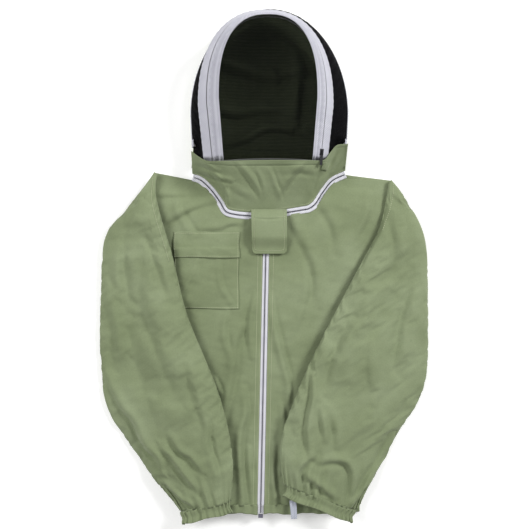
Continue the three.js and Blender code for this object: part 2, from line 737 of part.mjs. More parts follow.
for (const [name, cuff] of Object.entries(CUFFS)) {
  const group = new THREE.Group();
  jacket.add(group);
  const under = sleeveSurface(cuff.sleeve, cuff.mirrored, (x, y) => sleeveRest(x, y));
  const over = sleeveSurface(
    cuff.sleeve,
    cuff.mirrored,
    (x, y, u, v) => sleeveRest(x, y) + CLOTH + 0.5 + sleevePuff(u, v),
  );
  add(`sleeve_${name}_under`, sheet(under, CLOTH, 8, 16), twill, group);
  add(`sleeve_${name}_top`, sheet(over, CLOTH, 8, 16), twill, group);

  const [x, y] = cuff.at;
  const wrist = new THREE.Group();
  wrist.position.set(x, y, sleeveRest(x, y) + CUFF.height / 2 - 0.9);
  wrist.rotation.z = cuff.turn;
  group.add(wrist);
  const casing = flatRing(cuff.width, CUFF.height, CUFF.length, CUFF.wall);
  const channelWall = CUFF.groove + 0.3;
  const channel = flatRing(
    cuff.width - 2 * (CUFF.wall - channelWall), CUFF.height - 2 * (CUFF.wall - channelWall),
    CUFF.length - 8, channelWall + 0.5,
  );
  add(`cuff_${name}`, cut(casing, channel), twill, wrist);
  const elasticInset = CUFF.wall - CUFF.groove;
  add(
    `cuff_elastic_${name}`,
    flatRing(cuff.width - 2 * elasticInset, CUFF.height - 2 * elasticInset, CUFF.length - 8.8, CUFF.groove - 0.2),
    whiteElastic,
    wrist,
  );
}

// A thumb loop: elastic tape doubled into a loop. The left one hangs out over the hem, and the right
// one is tucked back inside its sleeve.
const LOOP = { width: 17, length: 40, band: 4, thick: 2 };
function thumbLoop() {
  const stadium = (w, l, Path) => {
    const path = new Path();
    path.absarc(0, l / 2 - w / 2, w / 2, 0, Math.PI, false);
    path.absarc(0, -l / 2 + w / 2, w / 2, Math.PI, 2 * Math.PI, false);
    return path;
  };
  const shape = stadium(LOOP.width, LOOP.length, THREE.Shape);
  shape.holes.push(stadium(LOOP.width - 2 * LOOP.band, LOOP.length - 2 * LOOP.band, THREE.Path));
  return new THREE.ExtrudeGeometry(shape, { depth: LOOP.thick, bevelEnabled: false, curveSegments: 6 });
}
const leftLoop = add("thumb_loop_left", thumbLoop(), whiteElastic);
leftLoop.position.set(58.1, -507.2, 41);
leftLoop.rotation.z = CUFFS.left.turn;
const rightLoop = add("thumb_loop_right", thumbLoop(), whiteElastic);
rightLoop.position.set(-139, -446, 41);
rightLoop.rotation.z = 0.3;

export default jacket;
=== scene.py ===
import math

import bpy
import numpy as np
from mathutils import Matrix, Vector


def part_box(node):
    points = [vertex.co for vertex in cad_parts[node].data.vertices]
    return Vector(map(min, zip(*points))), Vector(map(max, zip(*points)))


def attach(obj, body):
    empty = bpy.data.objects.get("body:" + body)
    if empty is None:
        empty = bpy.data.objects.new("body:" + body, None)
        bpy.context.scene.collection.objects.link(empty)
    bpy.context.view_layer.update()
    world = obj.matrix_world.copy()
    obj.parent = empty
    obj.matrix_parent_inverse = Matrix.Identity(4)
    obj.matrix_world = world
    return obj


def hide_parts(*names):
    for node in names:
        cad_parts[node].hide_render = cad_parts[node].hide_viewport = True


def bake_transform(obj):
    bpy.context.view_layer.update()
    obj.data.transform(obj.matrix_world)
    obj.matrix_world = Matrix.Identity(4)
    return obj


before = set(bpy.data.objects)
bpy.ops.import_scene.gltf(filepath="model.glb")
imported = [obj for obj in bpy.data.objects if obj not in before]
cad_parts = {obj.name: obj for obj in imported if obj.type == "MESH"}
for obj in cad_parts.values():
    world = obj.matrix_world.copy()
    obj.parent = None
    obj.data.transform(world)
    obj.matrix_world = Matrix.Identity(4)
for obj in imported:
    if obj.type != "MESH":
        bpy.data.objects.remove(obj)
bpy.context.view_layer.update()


# ---------------------------------------------------------------- camera, table and studio light
# The jacket is seen from straight above, as it lies on a white table under a large soft light. The lamp
# stands low to one side, so that each fold has a lit and a shaded side.
EYE_HEIGHT = 1850
SEEN_WIDTH = 1111  # of the table, from side to side

bpy.ops.object.select_all(action="DESELECT")
bpy.ops.object.camera_add(location=(0, 0, EYE_HEIGHT / 1000), rotation=(0, 0, 0))
camera = bpy.context.object
camera.name = "camera"
camera.data.sensor_width = 36
camera.data.lens = 36 * EYE_HEIGHT / SEEN_WIDTH
camera.data.clip_end = 20
bpy.context.scene.camera = camera
bpy.context.scene.view_settings.view_transform = "Standard"


def lamp(name, at, size, power):
    """A round soft lamp, aimed at the middle of the jacket."""
    bpy.ops.object.light_add(type="AREA", location=at)
    light = bpy.context.object
    light.name = name
    light.data.shape = "DISK"
    light.data.size = size
    light.data.energy = power
    light.rotation_euler = (-Vector(at)).to_track_quat("-Z", "Y").to_euler()


lamp("window_light", (3.5, 2.1, 2.9), 1.6, 190)
lamp("fill_light", (-2.2, 0.9, 2.4), 2.0, 62)


def linear(hex_colour):
    """An sRGB hex colour as the linear RGBA that a shader takes."""
    channels = [int(hex_colour[i : i + 2], 16) / 255 for i in (1, 3, 5)]
    return tuple(
        c / 12.92 if c <= 0.04045 else ((c + 0.055) / 1.055) ** 2.4 for c in channels
    ) + (1,)


def node(material, kind, links=None, **settings):
    """Adds a shader node: settings are its properties or inputs, and links feed its inputs."""
    tree = material.node_tree
    made = tree.nodes.new(kind)
    for key, value in settings.items():
        if hasattr(made, key):
            setattr(made, key, value)
        else:
            made.inputs[key.replace("_", " ")].default_value = value
    for key, source in (links or {}).items():
        socket = source if hasattr(source, "is_output") else source.outputs[0]
        tree.links.new(socket, made.inputs[key])
    return made


def new_material(name):
    material = bpy.data.materials.new(name)
    material.use_nodes = True
    material.node_tree.nodes.clear()
    return material


world = bpy.data.worlds.new("soft_studio")
bpy.context.scene.world = world
world.use_nodes = True
world.node_tree.nodes["Background"].inputs["Color"].default_value = (1, 1, 1, 1)
world.node_tree.nodes["Background"].inputs["Strength"].default_value = 0.35

# White laminate that glows faintly, as painted light, so that only a trace of shadow is left round the
# jacket.
glowing_table_laminate = new_material("white_table_laminate")
shader = node(
    glowing_table_laminate,
    "ShaderNodeBsdfPrincipled",
    Base_Color=linear("#fbfbfa"),
    Roughness=0.9,
    Emission_Color=linear("#ffffff"),
    Emission_Strength=0.24,
)
node(glowing_table_laminate, "ShaderNodeOutputMaterial", {"Surface": shader})
bpy.ops.object.select_all(action="DESELECT")
bpy.ops.mesh.primitive_plane_add(size=14, location=(0, 0, -0.0005))
table = bpy.context.object
table.name = "table_top"
table.data.materials.append(glowing_table_laminate)


# ---------------------------------------------------------------- back panel
# The back is one wide piece of cotton twill. It lies flat on the table with slack in it, drawn in at
# the waist by the elastic hem, and it is joined to both fronts down the side seams.
CLOTH = 0.9  # a layer of 240 g cotton twill with its slight fuzz


def clamp(t):
    return np.clip(t, 0.0, 1.0)


def smooth(t):
    return clamp(t) ** 2 * (3 - 2 * clamp(t))


def lerp(a, b, t):
    return a + (b - a) * t


def line(*points):
    """A smooth line in plan through a few points, as a function of the share of its length."""
    p = np.array(points, float)
    step = np.sqrt(np.linalg.norm(np.diff(p, axis=0), axis=1))
    knots = np.concatenate([[0], np.cumsum(step)])
    slope = np.gradient(p, knots, axis=0)
    t = np.linspace(0, knots[-1], 400)
    i = np.clip(np.searchsorted(knots, t, side="right") - 1, 0, len(p) - 2)
    h = (knots[i + 1] - knots[i])[:, None]
    s = ((t - knots[i])[:, None]) / h
    fine = (
        (2 * s**3 - 3 * s**2 + 1) * p[i]
        + (s**3 - 2 * s**2 + s) * h * slope[i]
        + (3 * s**2 - 2 * s**3) * p[i + 1]
        + (s**3 - s**2) * h * slope[i + 1]
    )
    along = np.concatenate([[0], np.cumsum(np.linalg.norm(np.diff(fine, axis=0), axis=1))])
    along /= along[-1]
    return lambda t: np.stack(
        [np.interp(t, along, fine[:, k]) for k in range(p.shape[1])], axis=-1
    )


def between(bottom, top, left, right):
    """The plan positions between four lines: across the bottom and top, and up the left and right."""

    def place(u, v):
        u1, v1 = u[..., None], v[..., None]
        return (
            bottom(u) * (1 - v1)
            + top(u) * v1
            + left(v) * (1 - u1)
            + right(v) * u1
            - bottom(0 * u) * (1 - u1) * (1 - v1)
            - bottom(0 * u + 1) * u1 * (1 - v1)
            - top(0 * u) * (1 - u1) * v1
            - top(0 * u + 1) * u1 * v1
        )

    return place


def folds(x, y, lines):
    """How far folds lift the cloth. Each is depth, width, points: a ridge with a hollow on its right."""
    lift = np.zeros_like(x)
    for depth, width, *points in lines:
        path = line(*points)(np.linspace(0, 1, 40))
        best = np.full(x.shape, 1e9)
        signed = np.zeros_like(x)
        share = np.zeros_like(x)
        for k in range(len(path) - 1):
            a, b = path[k], path[k + 1]
            d = b - a
            t = np.clip(((x - a[0]) * d[0] + (y - a[1]) * d[1]) / (d @ d), 0, 1)
            ex, ey = x - a[0] - t * d[0], y - a[1] - t * d[1]
            away = np.hypot(ex, ey)
            near = away < best
            best = np.where(near, away, best)
            side = np.sign(d[0] * ey - d[1] * ex)
            signed = np.where(near, side * away, signed)
            share = np.where(near, (k + t) / (len(path) - 1), share)
        taper = np.sin(math.pi * np.clip(0.06 + 0.88 * share, 0, 1)) ** 0.7
        ridge = np.exp(-((signed / width) ** 2))
        hollow = np.exp(-(((signed + 1.35 * width) / (0.6 * width)) ** 2))
        lift += depth * taper * (1.3 * ridge - 1.0 * hollow)
    return lift


def ripple(x, y, scale, seed):
    """Smooth, seeded slack: broad uneven swells and hollows about `scale` across, between -1 and 1."""
    random = np.random.default_rng(seed)
    total = np.zeros_like(x)
    for octave in range(3):
        for _ in range(5):
            turn, phase = random.uniform(0, 2 * math.pi, 2)
            wave = scale * random.uniform(0.7, 1.4) / 1.9**octave
            total += (
                np.sin(2 * math.pi * (x * np.cos(turn) + y * np.sin(turn)) / wave + phase)
                / 1.7**octave
            )
    return total / 6.5


def grid(name, across, along, place):
    """A grid of cloth, made flat and then laid in place; its UV map keeps the flat layout."""
    bpy.ops.object.select_all(action="DESELECT")
    bpy.ops.mesh.primitive_grid_add(x_subdivisions=across, y_subdivisions=along, size=2)
    piece = bpy.context.object
    piece.name = name
    flat = np.zeros(len(piece.data.vertices) * 3)
    piece.data.vertices.foreach_get("co", flat)
    flat = flat.reshape(-1, 3)
    laid = place((flat[:, 0] + 1) / 2, (flat[:, 1] + 1) / 2) / 1000
    piece.data.vertices.foreach_set("co", laid.ravel())
    piece.data.update()
    return piece


def close(piece, distance):
    """Joins edges that meet within a distance in metres, and turns all faces outwards."""
    bpy.context.view_layer.objects.active = piece
    bpy.ops.object.mode_set(mode="EDIT")
    bpy.ops.mesh.select_all(action="SELECT")
    bpy.ops.mesh.remove_doubles(threshold=distance)
    bpy.ops.mesh.normals_make_consistent(inside=False)
    bpy.ops.object.mode_set(mode="OBJECT")


def modify(piece, kind, **settings):
    """Adds a modifier to the piece and applies it."""
    bpy.context.view_layer.objects.active = piece
    piece.select_set(True)
    made = piece.modifiers.new(kind.lower(), kind)
    for key, value in settings.items():
        setattr(made, key, value)
    bpy.ops.object.modifier_apply(modifier=made.name)


def thicken(piece, thickness, offset=0):
    modify(piece, "SOLIDIFY", thickness=thickness / 1000, offset=offset, use_even_offset=False)
    bpy.ops.object.shade_smooth()


def surface_area(piece):
    return sum(face.area for face in piece.data.polygons)


def lay(piece, material, body, size, replaces=(), blend=None):
    """Gives a sheet of cloth its material and hides what it replaces; it moves with body unless blend is
    given.
    """
    piece.data.materials.clear()
    piece.data.materials.append(material)
    area = surface_area(piece) / 2
    width, length = size[0] / 1000, size[1] / 1000
    stretch = max(1.0, area / (width * length))
    width, length = width * math.sqrt(stretch), length * math.sqrt(stretch)
    if replaces:
        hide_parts(*replaces)
    if blend:
        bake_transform(piece)
    else:
        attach(piece, body)


def woven_cloth(name, light, mid, dark, rib):
    """Twill: diagonal ribs, slubs and the uneven fading of a washed garment."""
    cloth = new_material(name)
    where = node(cloth, "ShaderNodeTexCoord").outputs["Object"]
    fade = node(cloth, "ShaderNodeTexNoise", {"Vector": where}, Scale=9.0, Detail=3.0, Roughness=0.55)
    slub = node(cloth, "ShaderNodeTexNoise", {"Vector": where}, Scale=420.0, Detail=2.0, Roughness=0.6)
    tone = node(cloth, "ShaderNodeValToRGB", {"Fac": fade})
    tone.color_ramp.elements[0].position = 0.3
    tone.color_ramp.elements[0].color = linear(dark)
    tone.color_ramp.elements[1].position = 0.72
    tone.color_ramp.elements[1].color = linear(light)
    tone.color_ramp.elements.new(0.5).color = linear(mid)
    speck = node(
        cloth,
        "ShaderNodeMix",
        {6: tone.outputs["Color"], 7: slub.outputs["Fac"]},
        data_type="RGBA",
        blend_type="OVERLAY",
    )
    speck.inputs[0].default_value = 0.16
    turned = node(cloth, "ShaderNodeMapping", {"Vector": where}, Rotation=(0, 0, math.radians(52)))
    ribs = node(
        cloth,
        "ShaderNodeTexWave",
        {"Vector": turned},
        Scale=1000 / rib / (2 * math.pi),
        Distortion=1.2,
        Detail=1.0,
    )
    mixed = node(
        cloth, "ShaderNodeMath", {0: ribs.outputs["Fac"], 1: slub.outputs["Fac"]}, operation="ADD"
    )
    height = node(cloth, "ShaderNodeBump", {"Height": mixed}, Strength=0.28, Distance=0.0004)
    shader = node(
        cloth,
        "ShaderNodeBsdfPrincipled",
        {"Base Color": speck.outputs[2], "Normal": height},
        Roughness=0.92,
        Specular_IOR_Level=0.25,
        Sheen_Weight=0.12,
        Sheen_Roughness=0.5,
    )
    node(cloth, "ShaderNodeOutputMaterial", {"Surface": shader})
    return cloth


# Cotton twill, piece dyed sage green and washed soft: matt, with faint diagonal ribs drawn 2.4 mm apart,
# coarser than the real 0.8 mm, so that they show.
sage_twill = woven_cloth("washed_cotton_twill", "#8a9575", "#808b6a", "#778261", 2.4)

CHEST_HALF = 290
HEM_HALF = 188
RIGHT_SIDE = [
    (-172, -498), (-205, -400), (-252, -250), (-280, -80), (-284, 20), (-262, 120), (-228, 192),
]
LEFT_SIDE = [(197, -498), (216, -400), (256, -250), (286, -80), (290, 20), (282, 110), (264, 176)]
BACK_NECK = [(-228, 192), (-150, 176), (-70, 196), (10, 204), (90, 200), (168, 188), (264, 176)]
BACK_FOLDS = [
    (2.5, 14, (-90, -470), (-70, -330), (-40, -200)),
    (2.2, 16, (120, -480), (90, -300), (110, -140)),
]

right_seam, left_seam, back_neck = line(*RIGHT_SIDE), line(*LEFT_SIDE), line(*BACK_NECK)
back_plan = between(
    lambda u: lerp(right_seam(0 * u), left_seam(0 * u), u[..., None]), back_neck, right_seam, left_seam
)


def back_place(u, v):
    p = back_plan(u, v)
    x, y = p[:, 0], p[:, 1]
    edge = smooth(np.minimum(u, 1 - u) / 0.04)
    slack = 1.6 + 2.2 * (ripple(x, y, 170, 3) + 0.6) * edge
    slack += folds(x, y, BACK_FOLDS) * edge
    gathers = 1.6 * np.cos(x / 4.1) * smooth((-400 - y) / 90)
    return np.column_stack([x, y, np.clip(slack + gathers + 0.6, 0.6, 9)])


back = grid("back_cloth", 110, 130, back_place)
thicken(back, CLOTH)
lay(back, sage_twill, "jacket", (600, 720), replaces=["back_panel"])


# ---------------------------------------------------------------- fronts
# Right and left fronts of the same twill, each cut to the neck zip at the top and to the main zip in
# the middle. They lie over the back with the air out of them, so they wrinkle beside the zip.
BODY_RISE = 22  # of the front over its side seams, halfway across
SIDE_Z = 4
TAPE_SHOWN = 7.5  # of the neck zip's tape, each side of its coil
ZIP_SHOWN = 6.1  # of the white tape, each side of the main zip
ZIP_TOP = (4, 88)
ZIP_END = (-8, -516)
NECK = [
    (-153, 183), (-135, 177), (-112, 156), (-92, 129), (-80, 110), (-62, 104), (0, 100),
    (6, 101), (84, 114), (90, 115), (104, 124), (122, 151), (142, 175), (172, 190),
]
neck_line = line(*NECK)


def body_half(y):
    return lerp(CHEST_HALF, HEM_HALF, smooth((-40 - y) / 480))


def shoulder_fade(x, y):
    seam = np.where(x < 0, 192 - (x + 228) * 0.25, 176 + (264 - x) * 0.1)
    outside_neck = smooth((np.abs(x - 8) - 100) / 60)
    return 1 - outside_neck * (1 - smooth((seam - y) / 70))


def front_height(x, y):
    across = clamp(np.abs(x) / body_half(y))
    return SIDE_Z + BODY_RISE * (1 - across**3) * shoulder_fade(x, y)


def zip_x(y):
    return lerp(ZIP_END[0], ZIP_TOP[0], (y - ZIP_END[1]) / (ZIP_TOP[1] - ZIP_END[1]))


def beside_neck(s, offset):
    """A plan point beside the neck zip: offset is towards the hood, or the jacket if negative."""
    ahead = neck_line(s + 0.004) - neck_line(s - 0.004)
    ahead /= np.linalg.norm(ahead, axis=-1, keepdims=True)
    return neck_line(s) + np.stack([-ahead[..., 1], ahead[..., 0]], axis=-1) * offset


FRONT_FOLDS = [
    (5.5, 9, (-230, 150), (-180, 151), (-124, 156)),
    (3.6, 8, (232, 146), (196, 150), (150, 158)),
    (4.0, 7, (70, -346), (62, -400), (40, -452)),
    (3.8, 7, (-20, -60), (-30, -130), (-26, -190)),
    (4.5, 9, (-216, 86), (-146, 124), (-102, 136)),
    (3.2, 7, (-133, 76), (-94, 78), (-75, 86), (-46, 88)),
    (3.2, 7, (-73, -194), (-85, -140), (-79, -97)),
    (4.6, 8, (46, -300), (49, -263), (46, -236), (35, -194), (27, -161), (15, -113), (8, -63)),
    (4.2, 7, (36, -400), (41, -340), (34, -290)),
    (4.0, 7, (27, -492), (19, -465), (17, -421), (20, -372)),
    (4.6, 8, (-44, -492), (-50, -442), (-52, -392), (-50, -342), (-41, -309), (-44, -258)),
    (2.8, 6, (-30, -500), (-28, -440), (-34, -380)),
    (3.0, 5, (-90, -268), (-104, -236)),
    (3.4, 12, (60, 96), (90, 40), (112, -20), (118, -80)),
    (3.0, 12, (120, 130), (150, 80), (158, 30)),
    (3.6, 10, (-92, -330), (-70, -230), (-60, -150), (-34, -112)),
    (2.6, 9, (60, -140), (84, -60), (84, 0)),
    (3.0, 9, (-150, 60), (-180, 110), (-186, 150)),
    (3.2, 9, (190, 60), (212, 110), (214, 150)),
]


def front_surface(x, y):
    slack = 2.6 * ripple(x, y, 120, 11) + 1.0 * ripple(x, y, 46, 5)
    gathers = 2.2 * np.cos(x / 3.7 + 0.8 * np.sin(x / 17)) * smooth((-425 - y) / 80)
    lift = folds(x, y, FRONT_FOLDS) + gathers + slack
    held = smooth((np.abs(x - zip_x(y)) - 4) / 16) * shoulder_fade(x, y)
    return front_height(x, y) + lift * held


def neck_share(x):
    s = np.linspace(0, 1, 2000)
    return float(np.interp(x, neck_line(s)[:, 0], s))


NECK_PART = 0.62  # of a front's top edge, before the shoulder seam
NECK_SEWN = -5.0  # where a front's edge lies on the neck zip's tape
FRONT_HEM = -500


def front_panel(side):
    seam = right_seam if side < 0 else left_seam
    tip = np.array(RIGHT_SIDE[-1] if side < 0 else LEFT_SIDE[-1], float)
    centre, outer = neck_share(zip_x(96) + side * ZIP_SHOWN), (0.03 if side < 0 else 0.97)

    def top(t):
        neck = beside_neck(lerp(centre, outer, clamp(t / NECK_PART)), NECK_SEWN)
        corner = beside_neck(np.array(outer), NECK_SEWN)
        shoulder = lerp(corner, tip, clamp((t - NECK_PART) / (1 - NECK_PART))[..., None])
        return np.where((t < NECK_PART)[..., None], neck, shoulder)

    start = top(np.array(0.0))

    def opening(v):
        y = lerp(FRONT_HEM, start[1], v)
        x = lerp(zip_x(FRONT_HEM) + side * (ZIP_SHOWN + 1), start[0], v)
        return np.stack([x, y], axis=-1)

    def hem(t):
        return lerp(opening(0 * t), seam(0 * t), t[..., None])

    if side < 0:
        return between(lambda u: hem(1 - u), lambda u: top(1 - u), seam, opening)
    return between(hem, top, opening, seam)


def front_place(side):
    plan = front_panel(side)

    def place(u, v):
        p = plan(u, v)
        return np.column_stack([p, front_surface(p[:, 0], p[:, 1])])

    return place


for name, side in (("right", -1), ("left", 1)):
    front = grid(f"front_{name}_cloth", 80, 190, front_place(side))
    thicken(front, CLOTH)
    lay(
        front, sage_twill, "jacket", (300, 690),
        [f"front_panel_{name}"],
    )


# ---------------------------------------------------------------- waist hem
# The hem is a folded casing of the same twill with 15 mm elastic run through it. The elastic is slack as
# the jacket lies, so the casing is ruffled with short upright gathers.
HEM_TOP = -497
HEM_BOTTOM = -516.5
HEM_MIDDLE = 12.5
HEM_HALF_WIDTH = 186
ZIP_GAP = 0.034  # left open each side of the zip, as a turn round the hem


def hem_place(u, v):
    at_zip = math.acos((HEM_MIDDLE - ZIP_END[0]) / HEM_HALF_WIDTH)
    turn = at_zip + ZIP_GAP + u * 2 * (math.pi - ZIP_GAP)
    x = HEM_MIDDLE - HEM_HALF_WIDTH * np.cos(turn)
    ends = np.abs(np.cos(turn)) ** 10
    y = lerp(HEM_BOTTOM, HEM_TOP, v)
    top = front_height(x, np.full_like(x, FRONT_HEM)) + 0.6
    ruffle = 1.7 * np.cos(x / 3.4 + 1.3 * np.sin(x / 23)) + 0.8 * ripple(x, y, 30, 8)
    upper = top + ruffle * (1 - ends)
    lower = 1.2 + 0.8 * np.cos(x / 3.9)
    weight = smooth((np.sin(turn) / 0.25 + 1) / 2)
    z = np.clip(lerp(lower, upper, weight), 0.6, 60)
    y = y + 1.6 * np.sin(x / 11) * (1 - v)
    return np.column_stack([x, y, z])


hem = grid("waist_hem_cloth", 420, 8, hem_place)
thicken(hem, 1.6)
lay(
    hem, sage_twill, "jacket", (744, 20),
    replaces=["waist_hem", "waist_elastic"],
)


# ---------------------------------------------------------------- chest pocket
# A square patch pocket, turned in and topstitched on three sides, under a flap that is stitched on above
# its mouth. The flap hangs free over the mouth and turns up on its stitched edge.
POCKET = (-188, -53, -92, 33)
FLAP = (-189, -52, 14, 68)
POCKET_CREASES = [
    (1.8, 6, (-70, -80), (-92, -40), (-96, 10)),
    (1.5, 7, (-175, -60), (-150, -20), (-140, 20)),
]


EDGE_WANDER = 1.2  # of a hand-guided edge from a straight line


def patch_place(area, height):
    x0, x1, y0, y1 = area

    def place(u, v):
        x = lerp(x0, x1, u) + EDGE_WANDER * np.sin(v * 7 + 1)
        y = lerp(y0, y1, v) + EDGE_WANDER * np.sin(u * 6)
        return np.column_stack([x, y, height(x, y)])

    return place


def pocket_height(x, y):
    x0, x1, y0, y1 = POCKET
    inside = np.minimum(np.minimum(x - x0, x1 - x), y - y0)
    mouth = smooth(y / 30)
    bag = smooth(inside / 16) * (1.8 + 2.4 * mouth) + 1.1 * ripple(x, y, 60, 21) * smooth(inside / 20)
    creases = folds(x, y, POCKET_CREASES) * smooth(inside / 12)
    return front_surface(x, y) + 1.2 + bag + creases


def flap_height(x, y):
    x0, x1, y0, y1 = FLAP
    down = clamp((y1 - y) / (y1 - y0))
    curl = 1.0 * np.sin(x / 21 + 0.6) * down**2
    under = np.maximum(front_surface(x, y), pocket_height(x, y) * (y < 34))
    return lerp(front_surface(x, y) + 1.4, under + 2.2 + curl, smooth(down * 2.2))


pocket = grid("chest_pocket_cloth", 54, 50, patch_place(POCKET, pocket_height))
thicken(pocket, 1.0)
lay(
    pocket, sage_twill, "jacket", (135, 125),
    ["chest_pocket"],
)
flap = grid("pocket_flap_cloth", 54, 24, patch_place(FLAP, flap_height))
thicken(flap, 1.3)
lay(
    flap, sage_twill, "flap", (137, 54), ["pocket_flap"]
)


# ---------------------------------------------------------------- topstitching
# Two-ply polyester thread, a shade lighter than the cloth, in stitches 3 mm long along each sewn edge.
STITCH = (3.0, 0.8, 0.45)
STITCH_PITCH = 4.2
EDGE_INSET = 3  # of a stitch row from its sewn edge


def spun_thread(name, colour):
    thread = new_material(name)
    where = node(thread, "ShaderNodeTexCoord").outputs["Object"]
    twist = node(thread, "ShaderNodeTexNoise", {"Vector": where}, Scale=900.0)
    tone = node(thread, "ShaderNodeValToRGB", {"Fac": twist})
    tone.color_ramp.elements[0].color = linear(colour)
    tone.color_ramp.elements[1].color = tuple(min(1, c * 1.35) for c in linear(colour)[:3]) + (1,)
    shader = node(
        thread, "ShaderNodeBsdfPrincipled", {"Base Color": tone.outputs["Color"]}, Roughness=0.6
    )
    node(thread, "ShaderNodeOutputMaterial", {"Surface": shader})
    return thread


sage_thread = spun_thread("sage_polyester_thread", "#a9b090")


def beads(name, places, ahead, up, size, material, body, blend=None):
    """Many small lozenges, one at each place: stitches, or a coil's teeth. Size is long, wide, high."""
    n = len(places)
    ahead = ahead / np.linalg.norm(ahead, axis=1, keepdims=True)
    across = np.cross(up, ahead)
    across /= np.linalg.norm(across, axis=1, keepdims=True)
    up = np.cross(ahead, across)
    corners = []
    for a, c, h in (
        (-0.5, -0.35, 0), (-0.5, 0.35, 0), (0.5, 0.35, 0), (0.5, -0.35, 0),
        (-0.28, -0.3, 1), (-0.28, 0.3, 1), (0.28, 0.3, 1), (0.28, -0.3, 1),
    ):
        corner = ahead * a * size[0] + across * c * size[1] * 1.4 + up * h * size[2]
        corners.append(places + corner)
    points = np.stack(corners, axis=1).reshape(-1, 3) / 1000
    quads = [(0, 1, 2, 3), (7, 6, 5, 4), (0, 4, 5, 1), (1, 5, 6, 2), (2, 6, 7, 3), (3, 7, 4, 0)]
    faces = [tuple(8 * i + k for k in quad) for i in range(n) for quad in quads]
    mesh = bpy.data.meshes.new(name)
    mesh.from_pydata(points.tolist(), [], faces)
    piece = bpy.data.objects.new(name, mesh)
    bpy.context.collection.objects.link(piece)
    bpy.ops.object.select_all(action="DESELECT")
    bpy.context.view_layer.objects.active = piece
    piece.select_set(True)
    close(piece, 0)
    piece.data.materials.append(material)
    if blend:
        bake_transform(piece)
    else:
        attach(piece, body)
    return piece


def stitches(name, runs, height, body, blend=None):
    """Rows of topstitching along plan lines, lying on the cloth whose height is given."""
    places, ahead, up = [], [], []
    for points in runs:
        path = line(*points)
        fine = path(np.linspace(0, 1, 200))
        length = np.linalg.norm(np.diff(fine, axis=0), axis=1).sum()
        share = np.linspace(0, 1, max(2, int(length / STITCH_PITCH)))
        p = path(share)
        xyz = np.column_stack([p, height(p[:, 0], p[:, 1])])
        places.append(xyz)
        ahead.append(np.gradient(xyz, axis=0))
        up.append(np.tile([0.0, 0.0, 1.0], (len(xyz), 1)))
    return beads(
        name, np.concatenate(places), np.concatenate(ahead), np.concatenate(up),
        STITCH, sage_thread, body, blend,
    )


def patch_rows(area, top_inset):
    """Stitch rows down the right edge of a patch, along its bottom and up its left edge."""
    x0, x1 = area[0] + EDGE_INSET, area[1] - EDGE_INSET
    y0, y1 = area[2] + EDGE_INSET, area[3] - top_inset
    return [[(x0, y1), (x0, y0)], [(x0, y0), (x1, y0)], [(x1, y0), (x1, y1)]]


stitches(
    "pocket_topstitch", patch_rows(POCKET, 4), lambda x, y: pocket_height(x, y) + 0.55, "jacket"
)
flap_rows = patch_rows(FLAP, EDGE_INSET)
flap_rows.append([flap_rows[0][0], flap_rows[-1][-1]])
stitches("flap_topstitch", flap_rows, lambda x, y: flap_height(x, y) + 0.7, "flap")


# ---------------------------------------------------------------- sleeves
# Each sleeve is one tube of twill, set into the armhole and folded in over the front from the shoulder
# tip. It lies half flattened, with a soft fold down each edge and slack bunched above the cuff.
RIGHT_SLEEVE = {
    "inner": [
        (-224, 188), (-225, 147), (-189, 16), (-160, -100), (-122, -194),
        (-99, -250), (-76, -330), (-66, -400), (-69, -485),
    ],
    "outer": [
        (-229, 193), (-254, 158), (-294, 108), (-327, 64), (-337, 10),
        (-338, -240), (-322, -308), (-262, -402), (-176, -509),
    ],
}
LEFT_SLEEVE = {
    "inner": [
        (260, 172), (254, 140), (238, 76), (192, -10), (152, -86), (114, -160),
        (86, -218), (60, -280), (40, -340), (33, -400), (40, -450),
    ],
    "outer": [
        (265, 177), (286, 150), (308, 110), (330, 60), (338, 0), (338, -225),
        (322, -282), (281, -350), (250, -405), (212, -470), (194, -509),
    ],
}
SLEEVE_FOLDS = {
    "right": [
        (6.5, 10, (-330, -216), (-289, -294), (-266, -321), (-245, -367), (-218, -394), (-208, -424)),
        (5.5, 8, (-210, -372), (-187, -394), (-164, -425), (-132, -460)),
        (5.0, 7, (-202, -446), (-175, -475), (-144, -490)),
        (5.0, 8, (-192, -348), (-168, -380), (-148, -390), (-127, -417)),
        (4.0, 8, (-100, -470), (-104, -420), (-118, -370), (-120, -320)),
        (4.0, 14, (-250, 120), (-268, 40), (-262, -60)),
        (4.0, 16, (-240, -20), (-222, -110), (-190, -190), (-170, -260)),
        (3.4, 12, (-320, -60), (-300, -140), (-296, -210)),
        (3.4, 11, (-150, -200), (-130, -280), (-108, -340)),
        (3.0, 10, (-228, 60), (-204, -10), (-184, -70)),
        (3.0, 12, (-286, 60), (-300, 0), (-296, -60)),
    ],
    "left": [
        (5.5, 8, (104, -226), (102, -271), (94, -321), (92, -353), (100, -388)),
        (4.5, 7, (118, -290), (129, -356)),
        (4.5, 7, (147, -315), (152, -342), (150, -370)),
        (6.0, 9, (69, -468), (69, -421), (83, -398), (102, -386)),
        (6.5, 9, (114, -398), (150, -394), (173, -402), (185, -425), (183, -465), (177, -506)),
        (5.0, 8, (85, -424), (116, -448), (146, -472)),
        (5.5, 9, (272, -360), (239, -417), (212, -454), (187, -492)),
        (4.0, 14, (262, 120), (282, 40), (276, -50)),
        (4.0, 16, (250, 10), (214, -80), (176, -160), (150, -230)),
        (3.6, 12, (316, -40), (290, -130), (280, -210)),
        (3.4, 12, (234, -90), (222, -190), (230, -280)),
        (3.4, 11, (180, -120), (150, -200), (134, -260)),
    ],
}
SLEEVE_PUFF = 22
CUFFS = {
    "right": {"at": (-119.5, -509.6), "turn": 0.229, "width": 108, "waves": 23},
    "left": {"at": (112.3, -491.6), "turn": -0.366, "width": 156, "waves": 31},
}


def gather_wave(around, waves):
    """The uneven frill that the cuff elastic makes, round the sleeve's end."""
    frill = 0.75 * np.cos(around * waves + 1.6 * np.sin(around * 3))
    return frill + 0.35 * np.cos(around * (waves + 7) + 2.0)


